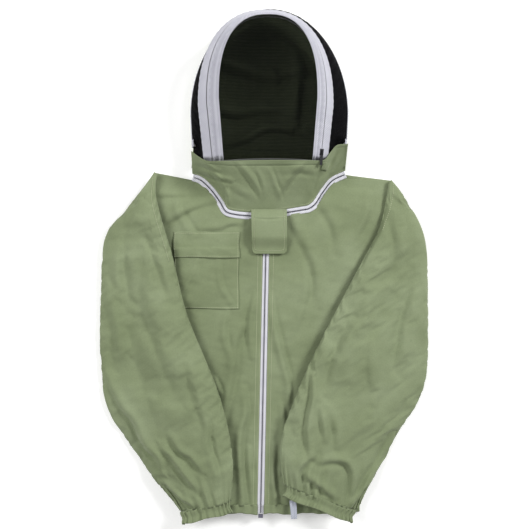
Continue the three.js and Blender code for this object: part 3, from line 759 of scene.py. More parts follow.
def sleeve_rest(x, y):
    side = np.abs(x)
    rest = lerp(13.5, 3.5, smooth((side - 200) / 62))
    off_body = smooth((side - body_half(y) - 16) / 40)
    return np.maximum(1.6, front_height(x, y) + rest - off_body * (SIDE_Z + 3.5 - 1.6))


def sleeve_place(name, outline):
    inner, outer = line(*outline["inner"]), line(*outline["outer"])
    slack_seed = 31 if name == "left" else 37

    def place(u, v):
        s = 1 - v
        around = u * 2 * math.pi
        a, b = inner(s), outer(s)
        across = 0.5 - 0.5 * np.cos(around)
        across = lerp(across, smooth(across), 0.25)
        p = a + (b - a) * across[:, None]
        x, y = p[:, 0], p[:, 1]
        width = np.linalg.norm(b - a, axis=1)
        upper = np.sin(around)
        round_edge = np.sign(upper) * np.abs(upper) ** 0.62
        taper = np.minimum(1, np.minimum(0.62 + 4.0 * v, 0.22 + 5.5 * (1 - v)))
        near_cuff = smooth((0.12 + 0.06 * np.sin(around * 5) - v) / 0.14)
        top = SLEEVE_PUFF * taper * (1 - 0.22 * smooth((width - 90) / 90))
        gather = gather_wave(around, CUFFS[name]["waves"])
        lift = folds(x, y, SLEEVE_FOLDS[name])
        lift += 3.4 * ripple(x, y, 130, slack_seed) + 1.3 * ripple(x, y, 48, 41)
        lift += 3.6 * near_cuff * gather
        body = np.where(upper > 0, (top + lift) * round_edge, 1.4 * near_cuff * gather * round_edge)
        base = sleeve_rest(x, y) - 0.2
        z = base + 1.6 + np.where(upper > 0, body, np.minimum(0, body) * 0.4)
        return np.column_stack([x, y, np.maximum(z, 0.9)])

    return place


CREASE_CAP = 3.6  # the furthest that a crease may move the cloth
SETTLE_FRAMES = 14


def crumple(piece, held_by):
    """Lets cloth with 3 percent of slack buckle into small creases, held fast where held_by is 1."""
    start = np.zeros(len(piece.data.vertices) * 3)
    piece.data.vertices.foreach_get("co", start)
    start = start.reshape(-1, 3)
    group = piece.vertex_groups.new(name="held")
    for index, weight in enumerate(held_by):
        group.add([index], float(weight), "REPLACE")
    bpy.ops.object.select_all(action="DESELECT")
    bpy.context.view_layer.objects.active = piece
    piece.select_set(True)
    cloth = piece.modifiers.new("cloth", "CLOTH")
    for key, value in dict(
        quality=6, mass=0.25, tension_stiffness=25, compression_stiffness=25, shear_stiffness=8,
        bending_stiffness=0.6, air_damping=3, vertex_group_mass="held", pin_stiffness=1,
        shrink_min=-0.03, use_pressure=True, uniform_pressure_force=0.3,
    ).items():
        setattr(cloth.settings, key, value)
    cloth.settings.effector_weights.gravity = 0
    cloth.collision_settings.use_collision = False
    cloth.collision_settings.use_self_collision = False
    cloth.point_cache.frame_start = 1
    cloth.point_cache.frame_end = SETTLE_FRAMES
    scene = bpy.context.scene
    for step in range(1, SETTLE_FRAMES + 1):
        scene.frame_set(step)
    shown = piece.evaluated_get(bpy.context.evaluated_depsgraph_get())
    moved = np.zeros(len(shown.data.vertices) * 3)
    shown.data.vertices.foreach_get("co", moved)
    moved = moved.reshape(-1, 3)
    piece.modifiers.remove(cloth)
    scene.frame_set(1)
    shift = moved - start
    far = np.linalg.norm(shift, axis=1, keepdims=True)
    shift *= np.minimum(1, CREASE_CAP / 1000 / np.maximum(far, 1e-9))
    piece.data.vertices.foreach_set("co", (start + shift).ravel())
    piece.data.update()
    piece.vertex_groups.clear()


# Where each sleeve's cloth starts and stops being held back by the jacket, in metres; here they only keep
# the sleeve's pieces fixed in place.
SLEEVE_BLENDS = {
    "right": ((-0.222, 0.196, 0.012), (-0.262, 0.04, 0.012)),
    "left": ((0.258, 0.18, 0.012), (0.296, 0.03, 0.012)),
}
ARMHOLES = {
    "right": [(-231, 182), (-233, 140), (-224, 100), (-207, 46), (-196, 8)],
    "left": [(268, 166), (266, 138), (256, 104), (244, 72)],
}


def upper_side(piece):
    """The height of a piece's upper side at a plan point, from its nearest vertices."""
    at = np.array([v.co for v in piece.data.vertices if v.normal.z > 0.1]) * 1000

    def height(x, y):
        found = []
        for px, py in zip(x, y):
            away = np.hypot(at[:, 0] - px, at[:, 1] - py)
            near = at[away < away.min() + 2.5]
            found.append(near[:, 2].max())
        return np.array(found)

    return height


for name, outline in (("right", RIGHT_SLEEVE), ("left", LEFT_SLEEVE)):
    sleeve = grid(f"sleeve_{name}_cloth", 190, 170, sleeve_place(name, outline))
    close(sleeve, 0.00002)
    co = np.array([v.co for v in sleeve.data.vertices]) * 1000
    under = co[:, 2] < sleeve_rest(co[:, 0], co[:, 1]) + 3.5
    ends = (co[:, 1] > 150) | (co[:, 1] < -508)
    crumple(sleeve, np.where(under | ends, 1.0, 0.0))
    thicken(sleeve, CLOTH, offset=-1)
    lay(
        sleeve, sage_twill, f"{name}_sleeve", (360, 720),
        [f"sleeve_{name}_under", f"sleeve_{name}_top"],
        blend=SLEEVE_BLENDS[name],
    )
    stitches(
        f"armhole_topstitch_{name}", [ARMHOLES[name]], upper_side(sleeve), f"{name}_sleeve",
        blend=SLEEVE_BLENDS[name],
    )


# ---------------------------------------------------------------- cuffs
# Each cuff is the sleeve's end turned up into a casing with elastic in it, ruffled all round, and open.
def cuff_place(cuff):
    at, turn, width = cuff["at"], cuff["turn"], cuff["width"]

    def place(u, v):
        around = u * 2 * math.pi
        gather = gather_wave(around, cuff["waves"])
        pinch = np.exp(-(((v - 0.45) / 0.3) ** 2))
        half = width / 2 * (1.0 - 0.05 * pinch - 0.03 * v) + 0.6 * gather
        high = 8.0 * (1.0 - 0.3 * pinch) + (1.7 + 1.5 * (1 - pinch)) * gather
        a = -half * np.cos(around)
        z = (high - 3.0 * v) * np.sign(np.sin(around)) * np.abs(np.sin(around)) ** 0.6
        b = lerp(-11, 13, v) + 1.4 * np.sin(around * 5) + 0.9 * gather * (1 - v)
        x = at[0] + a * math.cos(turn) - b * math.sin(turn)
        y = at[1] + a * math.sin(turn) + b * math.cos(turn)
        base = sleeve_rest(np.array(at[0] * 1.0), np.array(at[1] * 1.0)) + 8.6
        return np.column_stack([x, y, base + z])

    return place


for name, cuff in CUFFS.items():
    casing = grid(f"cuff_{name}_cloth", 300, 14, cuff_place(cuff))
    close(casing, 0.00002)
    thicken(casing, 1.8, offset=-1)
    lay(
        casing, sage_twill, f"{name}_sleeve",
        (2 * cuff["width"] + 80, 26), replaces=[f"cuff_{name}", f"cuff_elastic_{name}"],
    )


# ---------------------------------------------------------------- thumb loops
# A loop of pale elastic webbing is sewn inside each cuff, to keep the sleeve down over a glove. The left
# one hangs out; the right one is tucked up inside its sleeve and stays the plain ring it is.
def woven_webbing(name, light, dark, pitch):
    """Narrow woven tape: crosswise ribs, with painted shade making the ground between them slightly
    darker.
    """
    webbing = new_material(name)
    where = node(webbing, "ShaderNodeTexCoord").outputs["Object"]
    turned = node(webbing, "ShaderNodeMapping", {"Vector": where}, Rotation=(0, 0, math.radians(45)))
    wave_scale = 1000 / pitch / (2 * math.pi)
    ribs = node(webbing, "ShaderNodeTexWave", {"Vector": turned}, Scale=wave_scale, Distortion=0.6)
    soil = node(webbing, "ShaderNodeTexNoise", {"Vector": where}, Scale=35.0, Detail=3.0)
    mixed = node(
        webbing,
        "ShaderNodeMath",
        {0: ribs.outputs["Fac"], 1: soil.outputs["Fac"]},
        operation="MULTIPLY",
    )
    # The tone follows the ribs, so their recessed ground is painted darker as painted shade; soil varies
    # it at random.
    tone = node(webbing, "ShaderNodeValToRGB", {"Fac": mixed})
    tone.color_ramp.elements[0].color = linear(dark)
    tone.color_ramp.elements[1].color = linear(light)
    tone.color_ramp.elements[1].position = 0.55
    height = node(
        webbing, "ShaderNodeBump", {"Height": ribs.outputs["Fac"]}, Strength=0.35, Distance=0.0003
    )
    shader = node(
        webbing, "ShaderNodeBsdfPrincipled", {"Base Color": tone.outputs["Color"], "Normal": height},
        Roughness=0.75, Sheen_Weight=0.15,
    )
    node(webbing, "ShaderNodeOutputMaterial", {"Surface": shader})
    return webbing


def dress(material, *names):
    """Gives solid parts that stay as they are their finish."""
    for name in names:
        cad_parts[name].data.materials.clear()
        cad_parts[name].data.materials.append(material)


pale_elastic = woven_webbing("knitted_pale_elastic", "#c3c7d2", "#9fa4b1", 1.8)
dress(pale_elastic, "thumb_loop_right")

low, high = (np.array(c) * 1000 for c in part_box("thumb_loop_left"))
loop_at = (low + high) / 2 + np.array([1.5, 4.2, 0])
LOOP_TURN = 0.08


def loop_place(u, v):
    """A flat ribbon, doubled over at its far end: down the lower layer, round and back on top."""
    along = np.interp(u, [0, 0.44, 0.56, 1], [19.0, -18.6, -18.6, 19.0])
    gap = np.interp(u, [0, 0.36, 0.5, 0.64, 1], [-0.9, -1.6, 0.0, 1.6, 0.9])
    along = along - 0.9 * np.exp(-(((u - 0.5) / 0.05) ** 2))
    across = lerp(-6.6, 6.6, v) * (1 + 0.08 * along / 19)
    valley = -1.3 * np.exp(-(((v - 0.52 - 0.005 * along) / 0.13) ** 2))
    z = 41.7 + gap + 0.8 * np.sin(along / 9) + valley
    x = loop_at[0] + across * math.cos(LOOP_TURN) - along * math.sin(LOOP_TURN)
    y = loop_at[1] + across * math.sin(LOOP_TURN) + along * math.cos(LOOP_TURN)
    return np.column_stack([x, y, z])


loop = grid("thumb_loop_left_webbing", 80, 10, loop_place)
thicken(loop, 0.9)
lay(loop, pale_elastic, "left_loop", (78, 13), replaces=["thumb_loop_left"])


# ---------------------------------------------------------------- main zip
# A separating number 5 coil zip: white woven tapes sewn under the two fronts, a dark nylon coil on each,
# and a black slider and pull parked at the top, under the throat tab.
white_tape = woven_webbing("white_polyester_zip_tape", "#e4e4e9", "#c6c6cf", 1.6)
dress(white_tape, "front_zip_tape_right", "front_zip_tape_left", "neck_zip_back_tape")


def moulded_nylon(name, colour, rough=0.42):
    """Drawn nylon: smooth and a little glossy, with faint die lines."""
    nylon = new_material(name)
    where = node(nylon, "ShaderNodeTexCoord").outputs["Object"]
    grain = node(nylon, "ShaderNodeTexNoise", {"Vector": where}, Scale=700.0, Detail=2.0)
    tone = node(nylon, "ShaderNodeValToRGB", {"Fac": grain})
    tone.color_ramp.elements[0].color = linear(colour)
    lighter = [min(1, c * 1.5 + 0.004) for c in linear(colour)[:3]]
    tone.color_ramp.elements[1].color = (*lighter, 1)
    height = node(
        nylon, "ShaderNodeBump", {"Height": grain.outputs["Fac"]}, Strength=0.08, Distance=0.0002
    )
    shader = node(
        nylon, "ShaderNodeBsdfPrincipled", {"Base Color": tone.outputs["Color"], "Normal": height},
        Roughness=rough, IOR=1.53,
    )
    node(nylon, "ShaderNodeOutputMaterial", {"Surface": shader})
    return nylon


dark_nylon = moulded_nylon("drawn_nylon_coil", "#5a5965")
black_enamel = moulded_nylon("black_enamelled_zinc", "#1c1c1f", 0.3)
for zip_name in ("front", "neck", "veil"):
    dress(black_enamel, f"{zip_name}_zip_slider", f"{zip_name}_zip_pull")
dress(
    dark_nylon, "front_zip_top_stop_right", "front_zip_top_stop_left",
    "front_zip_retainer_box", "neck_zip_back_coil",
)


TOOTH = (1.25, 0.75, 1.5)
TOOTH_PITCH = 1.5


def teeth(name, path, normal, offset, body, nodes):
    """One side of a coil: a row of small lozenges beside a line, leaning towards the other side."""
    length = np.concatenate([[0], np.cumsum(np.linalg.norm(np.diff(path, axis=0), axis=1))])
    at = np.arange(TOOTH_PITCH / 2 * (1 + (offset > 0)), length[-1], TOOTH_PITCH)
    p = np.column_stack([np.interp(at, length, path[:, k]) for k in range(3)])
    n = np.column_stack([np.interp(at, length, normal[:, k]) for k in range(3)])
    ahead = np.gradient(p, axis=0)
    ahead /= np.linalg.norm(ahead, axis=1, keepdims=True)
    across = np.cross(ahead, n)
    across /= np.linalg.norm(across, axis=1, keepdims=True)
    piece = beads(name, p + across * offset, across, n, TOOTH, dark_nylon, body)
    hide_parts(*nodes)
    return piece


COIL_Z = SIDE_Z + BODY_RISE - 0.15  # the coil's underside, on tape sewn under the fronts
zip_y = np.linspace(ZIP_END[1] + 1, ZIP_TOP[1], 60)
zip_path = np.column_stack([zip_x(zip_y), zip_y, np.full_like(zip_y, COIL_Z)])
zip_up = np.tile([0.0, 0.0, 1.0], (60, 1))
teeth("front_zip_teeth_right", zip_path, zip_up, -0.62, "jacket", ["front_zip_coil_right"])
teeth("front_zip_teeth_left", zip_path, zip_up, 0.62, "jacket", ["front_zip_coil_left"])

for name, side in (("right", -1), ("left", 1)):
    for row, beside_zip in (("zip", 8.4), ("facing", 16.0)):
        stitches(
            f"{row}_topstitch_{name}",
            [[(zip_x(y) + side * beside_zip, y) for y in (-494, -200, 86)]],
            lambda x, y: front_surface(x, y) + 0.5,
            "jacket",
        )


# ---------------------------------------------------------------- hood frame
# The veil is held open by two sprung plastic hoops. The front one runs in a white casing that joins the
# face net to one half of the veil zip; the other half, on a white band, stays with the side net.
HOOP_STEPS = 32
LEG_SHARE = 6 / HOOP_STEPS
FACE_EDGE = dict(cx=7, side=98, base=90, y0=218, y1=330, rise=159, power=2.5, z0=83, z1=128)
ZIP_LINE = dict(cx=4, side=119, base=109, y0=218, y1=325, rise=173, power=2.4, z0=70, z1=109)
VEIL_EDGE = dict(cx=2.5, side=134, base=124, y0=218, y1=320, rise=188, power=2.3, z0=60, z1=88)
REAR_HOOP = dict(cx=10, side=161, base=158, y0=242, y1=307, rise=216, power=2, z0=31, z1=38)


def hoop_point(hoop, s):
    """A point on a hoop line; s runs from its right end over the crown to its left end."""
    s = np.asarray(s, float)
    from_end = np.minimum(s, 1 - s)
    side = np.where(s < 0.5, -1.0, 1.0)
    t = clamp(from_end / LEG_SHARE)
    leg_x = hoop["cx"] + side * lerp(hoop["base"], hoop["side"], t)
    leg_y = lerp(hoop["y0"], hoop["y1"], t)
    angle = math.pi * clamp((s - LEG_SHARE) / (1 - 2 * LEG_SHARE))
    power = 2 / hoop["power"]
    c, d = np.cos(angle), np.sin(angle)
    arch_x = hoop["cx"] - hoop["side"] * np.sign(c) * np.abs(c) ** power
    arch_y = hoop["y1"] + hoop["rise"] * np.abs(d) ** power
    leg = from_end < LEG_SHARE
    x, y = np.where(leg, leg_x, arch_x), np.where(leg, leg_y, arch_y)
    z = lerp(hoop["z0"], hoop["z1"], (y - hoop["y0"]) / (hoop["y1"] + hoop["rise"] - hoop["y0"]))
    return np.stack([x, y, z], axis=-1)


def spaced_hoop(hoop, tucked=24):
    """The same line by the share of its length, with its feet tucked down under the bib."""
    p = hoop_point(hoop, np.linspace(0, 1, 1200))
    feet = [
        p[end] + np.array([0, -14 * share, -tucked * share**0.7])
        for end in (0, -1)
        for share in (1, 0.6, 0.3)
    ]
    p = np.vstack([feet[:3], p, feet[:2:-1]])
    length = np.concatenate([[0], np.cumsum(np.linalg.norm(np.diff(p, axis=0), axis=1))])
    length /= length[-1]
    return lambda t: np.stack([np.interp(t, length, p[:, k]) for k in range(3)], axis=-1)


face_edge, zip_edge, veil_edge = map(spaced_hoop, (FACE_EDGE, ZIP_LINE, VEIL_EDGE))
rear_edge = spaced_hoop({**REAR_HOOP, "z0": 39, "z1": 46}, 6)


def band_normal(inside, outside, s):
    ahead = inside(clamp(s + 0.004)) - inside(clamp(s - 0.004))
    normal = np.cross(outside(s) - inside(s), ahead)
    return normal / np.linalg.norm(normal, axis=-1, keepdims=True)


def band_place(inside, outside, r0, r1, rise, start=0.0, end=1.0):
    """A band between two hoop lines, from share r0 to r1 of the way out; rise(r, s) lifts it."""

    def place(u, v):
        s = lerp(start, end, v)
        share = lerp(r1, r0, u)
        p = inside(s) + (outside(s) - inside(s)) * share[:, None]
        return p + band_normal(inside, outside, s) * rise(1 - u, s)[:, None]

    return place


def puckers(s, count, depth):
    return depth * np.cos(s * 2 * math.pi * count + 1.7 * np.sin(s * 9))


# The casing is a doubled strip of the same white tape with the hoop inside its outer half; its tape is
# painted greyer than the zip tape, as painted shade.
def casing_rise(r, s):
    hoop = 3.0 * np.exp(-(((r - 0.6) / 0.2) ** 2)) + 1.6 * np.exp(-(((r - 0.14) / 0.13) ** 2))
    crease = -1.6 * np.exp(-(((r - 0.32) / 0.07) ** 2))
    return hoop + crease + puckers(s, 55, 0.35) * (0.3 + r) - 1.6


# Painted shade: the hood's white bands get a darker grey than the white of the zip tape.
casing_tape_painted_shade = woven_webbing("white_cotton_casing_tape", "#c9c9d1", "#acacb8", 1.6)
front_casing = grid(
    "front_hoop_casing_tape", 14, 300, band_place(face_edge, zip_edge, -0.02, 0.8, casing_rise)
)
thicken(front_casing, 1.0)
lay(
    front_casing, casing_tape_painted_shade, "front_frame", (20, 800),
    replaces=["front_hoop_casing"],
)

zip_band_inner = grid(
    "veil_zip_band_inner", 4, 260,
    band_place(face_edge, zip_edge, 0.74, 0.97, lambda r, s: np.full_like(r, -1.5), 0.0, 0.975),
)
thicken(zip_band_inner, 0.8)
lay(
    zip_band_inner, casing_tape_painted_shade, "front_frame", (12, 790),
    replaces=["veil_zip_tape_inner"],
)


def outer_rise(r, s):
    return -1.4 + 1.2 * np.sin(math.pi * clamp(r)) + puckers(s, 60, 0.45) * r


zip_band_outer = grid(
    "veil_zip_band_outer", 8, 300, band_place(zip_edge, veil_edge, 0.05, 1.12, outer_rise)
)
thicken(zip_band_outer, 0.8)
lay(
    zip_band_outer, casing_tape_painted_shade, "jacket", (16, 860),
    replaces=["veil_zip_tape_outer"],
)

s = np.linspace(0.01, 0.968, 240)
up = band_normal(face_edge, zip_edge, s)
teeth("veil_zip_teeth_inner", zip_edge(s) - up, up, 1.1, "front_frame", ["veil_zip_coil_inner"])
s = np.linspace(0.005, 0.995, 260)
up = band_normal(zip_edge, veil_edge, s)
teeth("veil_zip_teeth_outer", zip_edge(s) - up, up, -1.1, "jacket", ["veil_zip_coil_outer"])

white_acetal = moulded_nylon("white_acetal_rod", "#d8d8d6", 0.35)
dress(white_acetal, "front_hoop", "rear_hoop")


# ---------------------------------------------------------------- veil net
# Black warp-knitted polyester net. The face is a single stretched layer that can be seen through; round
# the sides it is gathered between the white band and the rear hoop, and reads nearly solid black.
def knitted_net(name, colour, cover, pitch, contrast):
    """A net that lets light through: cover is the thread's share, contrast its pattern's strength."""
    net = new_material(name)
    where = node(net, "ShaderNodeTexCoord").outputs["Object"]
    flat = node(net, "ShaderNodeMapping", {"Vector": where}, Scale=(1, 0.8, 0))
    cell = node(
        net, "ShaderNodeTexVoronoi", {"Vector": flat},
        Scale=1000 / pitch, Randomness=0.15, feature="DISTANCE_TO_EDGE",
    )
    ramp = node(net, "ShaderNodeValToRGB", {"Fac": cell.outputs["Distance"]})
    ramp.color_ramp.elements[0].position = 0.05
    ramp.color_ramp.elements[0].color = (min(1, cover + contrast),) * 3 + (1,)
    ramp.color_ramp.elements[1].position = 0.4
    ramp.color_ramp.elements[1].color = (max(0, cover - contrast),) * 3 + (1,)
    shader = node(
        net, "ShaderNodeBsdfPrincipled", {"Alpha": ramp.outputs["Color"]},
        Base_Color=linear(colour), Roughness=0.9, Specular_IOR_Level=0.08,
    )
    node(net, "ShaderNodeOutputMaterial", {"Surface": shader})
    return net


face_net_cloth = knitted_net("black_knitted_veil_net", "#060707", 0.44, 2.2, 0.12)
side_net_cloth = knitted_net("gathered_black_veil_net", "#0c0c0e", 0.97, 2.2, 0.03)
NET_FOLDS = [
    (2.0, 12, (-70, 240), (-30, 340), (-20, 430)),
    (1.6, 10, (60, 235), (52, 330), (30, 450)),
]


def face_place(u, v):
    s = lerp(0.0, 0.492, v)
    a, b = face_edge(s), face_edge(1 - s)
    p = a + (b - a) * u[:, None]
    p[:, 2] += 9 * np.sin(math.pi * u) * smooth((0.5 - s) / 0.3) - 1.6
    p[:, 2] += folds(p[:, 0], p[:, 1], NET_FOLDS)
    return p


face = grid("face_net_cloth", 60, 80, face_place)
thicken(face, 0.4)
lay(face, face_net_cloth, "front_frame", (200, 290), replaces=["face_net"])


SIDE_GATHERS = 34


def side_place(u, s):
    a, b = veil_edge(s), rear_edge(s)
    inner = a + (a - zip_edge(s)) * 0.05
    gather = s * 2 * math.pi * SIDE_GATHERS
    r = 1 - u
    p = inner + (b - inner) * r[:, None]
    away = (b - a)[:, :2] / np.linalg.norm((b - a)[:, :2], axis=1, keepdims=True)
    crown = np.exp(-(((s - 0.47) / 0.13) ** 2))
    sag = np.sin(math.pi * r) * (1 - 0.95 * crown)
    p[:, 2] += sag * (3 + 1.2 * np.cos(gather)) - 2.2 * (1 - r)
    p[:, 2] -= 16 * smooth((262 - p[:, 1]) / 20) * smooth(r / 0.4)
    p[:, :2] += away * (sag * (2.5 + np.cos(gather + 1)))[:, None]
    return p


side = grid("side_net_cloth", 18, 300, side_place)
thicken(side, 0.4)
lay(side, side_net_cloth, "jacket", (70, 950), replaces=["side_net"])


# ---------------------------------------------------------------- hood back
# The back of the hood is the same cotton twill, lying on the table in slack folds that show through the
# face net. It turns up all round to a white casing, in which the second, rear hoop runs.
REAR_LOW = {**REAR_HOOP, "z0": 24, "z1": 31}
REAR_HIGH = {**REAR_HOOP, "z0": 39, "z1": 46}
HOOD_BACK_EDGE = {**REAR_LOW, "y0": 238}
hood_rim = hoop_point(HOOD_BACK_EDGE, np.linspace(0, 1, 181))
HOOD_FOLDS = [
    (11, 15, (-110, 428), (-60, 414), (-10, 398), (25, 394)),
    (8, 12, (25, 394), (55, 404), (95, 400)),
    (8, 13, (62, 296), (66, 350), (70, 410), (52, 452)),
    (6, 10, (24, 370), (20, 392), (14, 404)),
    (7, 14, (-120, 330), (-60, 318), (0, 326), (60, 318)),
    (6, 12, (92, 420), (70, 446), (28, 470)),
    (7, 12, (-90, 250), (-40, 264), (4, 286), (60, 282), (100, 272)),
    (6, 12, (-104, 470), (-50, 486), (10, 492)),
]


def hood_back_height(x, y):
    away = np.full_like(x, 1e9)
    for p in hood_rim:
        away = np.minimum(away, np.hypot(p[0] - x, p[1] - y))
    turned_up = (HOOD_BACK_EDGE["z0"] - 1.5) * np.exp(-away / 16)
    slack = smooth((away - 8) / 30)
    lift = 1.4 * folds(x, y, HOOD_FOLDS) + 2.2 * ripple(x, y, 90, 41)
    return 1.6 + turned_up + np.maximum(0, lift + 1.2) * slack


def hood_back_place(u, v):
    s = lerp(0, 0.4925, v)
    a, b = hoop_point(HOOD_BACK_EDGE, s), hoop_point(HOOD_BACK_EDGE, 1 - s)
    p = a + (b - a) * lerp(0.002, 0.998, u)[:, None]
    p[:, 2] = hood_back_height(p[:, 0], p[:, 1])
    return p


hood_back = grid("hood_back_cloth", 130, 150, hood_back_place)
thicken(hood_back, CLOTH)
lay(hood_back, sage_twill, "jacket", (330, 300), replaces=["hood_back"])

nape_bottom = line(
    (-152, 201), (-122, 214), (-70, 220), (10, 223), (90, 220), (144, 213), (168, 200)
)


def nape_place(u, v):
    low = nape_bottom(u)
    high = np.column_stack([lerp(-148, 168, u), np.full_like(u, 239.0)])
    p = low + (high - low) * v[:, None]
    edge = np.abs(2 * u - 1) ** 12
    slack = 0.8 * np.maximum(0, ripple(p[:, 0], p[:, 1], 40, 42))
    z = (lerp(3.2, 1.8, v) + slack) * (1 - edge) + lerp(14, 23, v) * edge
    return np.column_stack([p, z])


nape = grid("hood_nape_cloth", 90, 14, nape_place)
thicken(nape, CLOTH)
lay(nape, sage_twill, "jacket", (345, 40), replaces=["hood_nape"])


def rear_casing_place(u, v):
    low, high = hoop_point(REAR_LOW, v), hoop_point(REAR_HIGH, v)
    p = low + (high - low) * u[:, None]
    out = np.column_stack([p[:, 0] - 10, np.maximum(0, p[:, 1] - 307), np.zeros_like(u)])
    out /= np.linalg.norm(out, axis=1, keepdims=True)
    swell = 2.2 * np.sin(math.pi * clamp(u)) + 0.4 * np.cos(v * 2 * math.pi * 60) * u - 2.4 * u**2
    return p + out * swell[:, None]


rear_casing = grid("rear_hoop_casing_tape", 8, 300, rear_casing_place)
thicken(rear_casing, 1.0)
lay(
    rear_casing, casing_tape_painted_shade, "jacket", (18, 900),
    replaces=["rear_hoop_casing"],
)


# ---------------------------------------------------------------- neck zip
# A second coil zip takes the whole hood off the jacket. Its white tapes are sewn to the neck edge and to
# the foot of the hood, and its slider is parked at the throat.
def neck_height(x):
    return 6 + 20 * (1 - smooth((np.abs(x - 8) - 86) / 78))


def neck_strip_place(near, far, lift):
    def place(u, v):
        s = lerp(0.008, 0.992, v)
        a, b = beside_neck(s, near), beside_neck(s, far)
        p = a + (b - a) * u[:, None]
        bow = 0.7 * np.sin(math.pi * clamp(u)) + 0.25 * np.cos(v * 2 * math.pi * 31)
        return np.column_stack([p, neck_height(p[:, 0]) + lift + bow])

    return place


for name, near, far in (("jacket", -7.6, -0.5), ("hood", 0.5, 7.6)):
    strip = grid(f"neck_zip_band_{name}", 6, 240, neck_strip_place(near, far, 0.1))
    close(strip, 0.00001)
    thicken(strip, 0.9)
    lay(
        strip, white_tape, "jacket", (12, 420),
        replaces=[f"neck_zip_tape_{name}"],
    )

s = np.linspace(0.012, 0.988, 200)
neck_path = beside_neck(s, 0)
neck_path = np.column_stack([neck_path, neck_height(neck_path[:, 0]) + 1.4])
neck_up = np.tile([0.0, 0.0, 1.0], (200, 1))
teeth("neck_zip_teeth_jacket", neck_path, neck_up, 0.62, "jacket", ["neck_zip_coil_jacket"])
teeth("neck_zip_teeth_hood", neck_path, neck_up, -0.62, "jacket", ["neck_zip_coil_hood"])


# ---------------------------------------------------------------- bib
# The bib is the cotton piece between the neck zip and the foot of the veil. It is eased in at the throat,
# so soft gathers fan out from there to the face opening, and it runs up to the rear hoop at each side.
bib_high = line(
    (-150, 232), (-136, 221), (-119, 211), (-80, 209), (7, 210),
    (92, 210), (121, 212), (135, 229), (148, 243), (171, 247),
)
BIB_FOLDS = [
    (5.0, 6.5, (-52, 206), (-40, 192), (-23, 172), (-8, 146), (-2, 124)),
    (3.2, 5.0, (-14, 190), (-4, 170), (2, 140)),
    (3.4, 5.0, (32, 124), (30, 142), (20, 168), (10, 192)),
    (5.0, 6.5, (26, 128), (34, 154), (52, 180), (78, 206)),
    (3.6, 6.0, (86, 132), (94, 158), (104, 194)),
    (3.0, 5.0, (112, 150), (122, 172), (132, 204)),
    (5.0, 5.5, (-128, 216), (-108, 196), (-90, 172), (-78, 146)),
    (4.6, 5.0, (-150, 198), (-124, 191), (-92, 178), (-66, 172)),
    (3.6, 4.5, (-142, 214), (-118, 203), (-92, 192)),
    (4.2, 4.5, (-76, 152), (-75, 138), (-74, 122)),
    (3.0, 8.0, (40, 190), (70, 196), (106, 190)),
    (2.6, 8.0, (-60, 160), (-30, 140), (-10, 118)),
    (4.4, 6.0, (156, 232), (146, 210), (132, 186), (118, 170)),
    (3.4, 5.0, (166, 214), (154, 200), (142, 186)),
]


def bib_height(x, y, v):
    low = neck_height(x) + 1
    high = 45 + 34 * (1 - clamp(np.abs(x - 7) / 158) ** 3.2)
    turned_hem = 1.3 * smooth((v - 0.9) / 0.02) - 1.0 * np.exp(-(((v - 0.9) / 0.014) ** 2))
    eased = smooth(v / 0.12) * smooth((1.04 - v) / 0.16) * smooth((160 - np.abs(x - 9)) / 22)
    behind_tab = smooth((62 - np.abs(x - 8)) / 20)
    eased = eased * lerp(1, smooth((y - 122) / 34), behind_tab)
    gathers = 0.62 * folds(x, y, BIB_FOLDS) + 1.2 * ripple(x, y, 60, 51)
    return lerp(low, high, v**1.15) + turned_hem + gathers * eased


def bib_plan(u, v):
    low = beside_neck(u, TAPE_SHOWN - 0.3)
    return low + (bib_high(u) - low) * v[:, None]


def bib_place(u, v):
    p = bib_plan(u, v)
    return np.column_stack([p, bib_height(p[:, 0], p[:, 1], v)])


bib = grid("bib_cloth", 200, 70, bib_place)
thicken(bib, CLOTH)
lay(bib, sage_twill, "jacket", (400, 130), replaces=["bib"])


neck_seam = bib_plan(np.linspace(0.02, 0.98, 40), np.full(40, 0.04))
stitches("neck_topstitch_hood", [neck_seam], lambda x, y: neck_height(x) + 2.4, "jacket")


# ---------------------------------------------------------------- zip garage
# A small folded patch of twill is sewn to the bib just below the end of the veil zip. It covers the end
# of the coil, so that the slider can't let a bee in behind it.
GARAGE = (117, 131, 193, 207)
garage_rest = upper_side(bib)


def garage_place(u, v):
    x = lerp(GARAGE[0], GARAGE[1], u) + 3.0 * (v - 0.5)
    y = lerp(GARAGE[2], GARAGE[3], v)
    puff = 1.5 * np.sin(math.pi * u) ** 0.5 * np.sin(math.pi * (0.1 + 0.85 * v)) ** 0.5
    return np.column_stack([x, y, garage_rest(x, y) + 1.0 + puff])


garage = grid("zip_garage_cloth", 16, 16, garage_place)
thicken(garage, 1.0)
lay(garage, sage_twill, "jacket", (15, 15))


# ---------------------------------------------------------------- throat tab
# A double-layer cotton tab closes over the meeting point of the two zips, so that no bee gets in. It is
# sewn down along its top edge and held at its free corners by hook-and-loop patches.
TAB_TOP = 114
TAB_LENGTH = 92
TAB_WIDTH = 75
TAB_FOLDS = [(1.3, 4, (-24, 100), (8, 98), (42, 101))]


def tab_height(t):
    return 33 + 9 * smooth(t / 0.27) - 9.3 * smooth((t - 0.6) / 0.3)


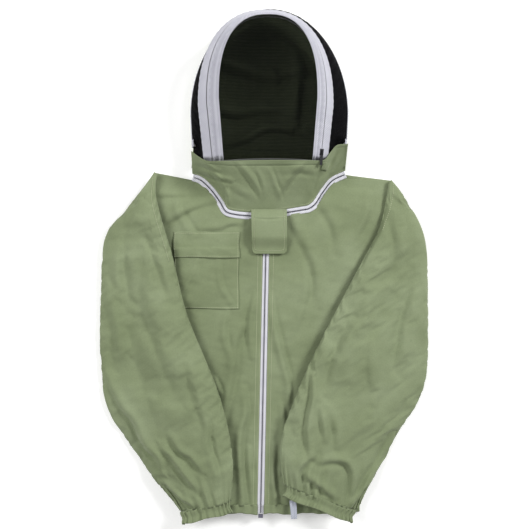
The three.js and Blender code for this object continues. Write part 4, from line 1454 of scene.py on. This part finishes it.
def tab_place(u, t):
    x = lerp(-27.5 + 2.0 * t, 46.2 - 0.3 * t, u)
    corner = 7.0 * (clamp(1 - u / 0.1) ** 2 + clamp((u - 0.9) / 0.1) ** 2) * smooth((t - 0.9) / 0.1)
    y = TAB_TOP - TAB_LENGTH * t + corner
    edge = np.minimum.reduce([u * TAB_WIDTH, (1 - u) * TAB_WIDTH, (1 - t) * TAB_LENGTH])
    seam = -0.7 * np.exp(-(((edge - 5.5) / 1.3) ** 2))
    slack = 0.7 * np.sin(u * 5.1 + 0.6) * np.sin(t * 6 + 0.4) + folds(x, y, TAB_FOLDS)
    return np.column_stack([x, y, tab_height(t) + seam + slack])


tab = grid("throat_tab_cloth", 76, 92, tab_place)
close(tab, 0.00001)
thicken(tab, 1.8)
lay(tab, sage_twill, "tab", (77, 95), replaces=["throat_tab"])


def tab_lift(x, y):
    return tab_height((TAB_TOP - y) / TAB_LENGTH) + 0.9


tab_runs = [
    [
        (-21.5, 112), (-21.0, 70), (-20.4, 33), (-17, 29.6), (10, 29.2),
        (37, 29.6), (40.2, 33), (40.6, 70), (40.8, 112),
    ],
    [(-22, 98.5), (10, 97.5), (41, 98.5)],
]
stitches("throat_tab_topstitch", tab_runs, tab_lift, "tab")

# Nylon hook and loop: a fine matt pile, in a darker sage than the cloth.
hook_patch = new_material("moulded_nylon_hook_and_loop")
where = node(hook_patch, "ShaderNodeTexCoord").outputs["Object"]
pile = node(hook_patch, "ShaderNodeTexVoronoi", {"Vector": where}, Scale=900.0)
tone = node(hook_patch, "ShaderNodeValToRGB", {"Fac": pile.outputs["Distance"]})
tone.color_ramp.elements[0].color = linear("#7d8567")
tone.color_ramp.elements[1].color = linear("#5c6350")
height = node(
    hook_patch, "ShaderNodeBump", {"Height": pile.outputs["Distance"]}, Strength=0.6, Distance=0.0006
)
shader = node(
    hook_patch, "ShaderNodeBsdfPrincipled", {"Base Color": tone.outputs["Color"], "Normal": height},
    Roughness=0.8, Sheen_Weight=0.3,
)
node(hook_patch, "ShaderNodeOutputMaterial", {"Surface": shader})
dress(hook_patch, "tab_loop_right", "tab_hook_right", "tab_loop_left", "tab_hook_left")
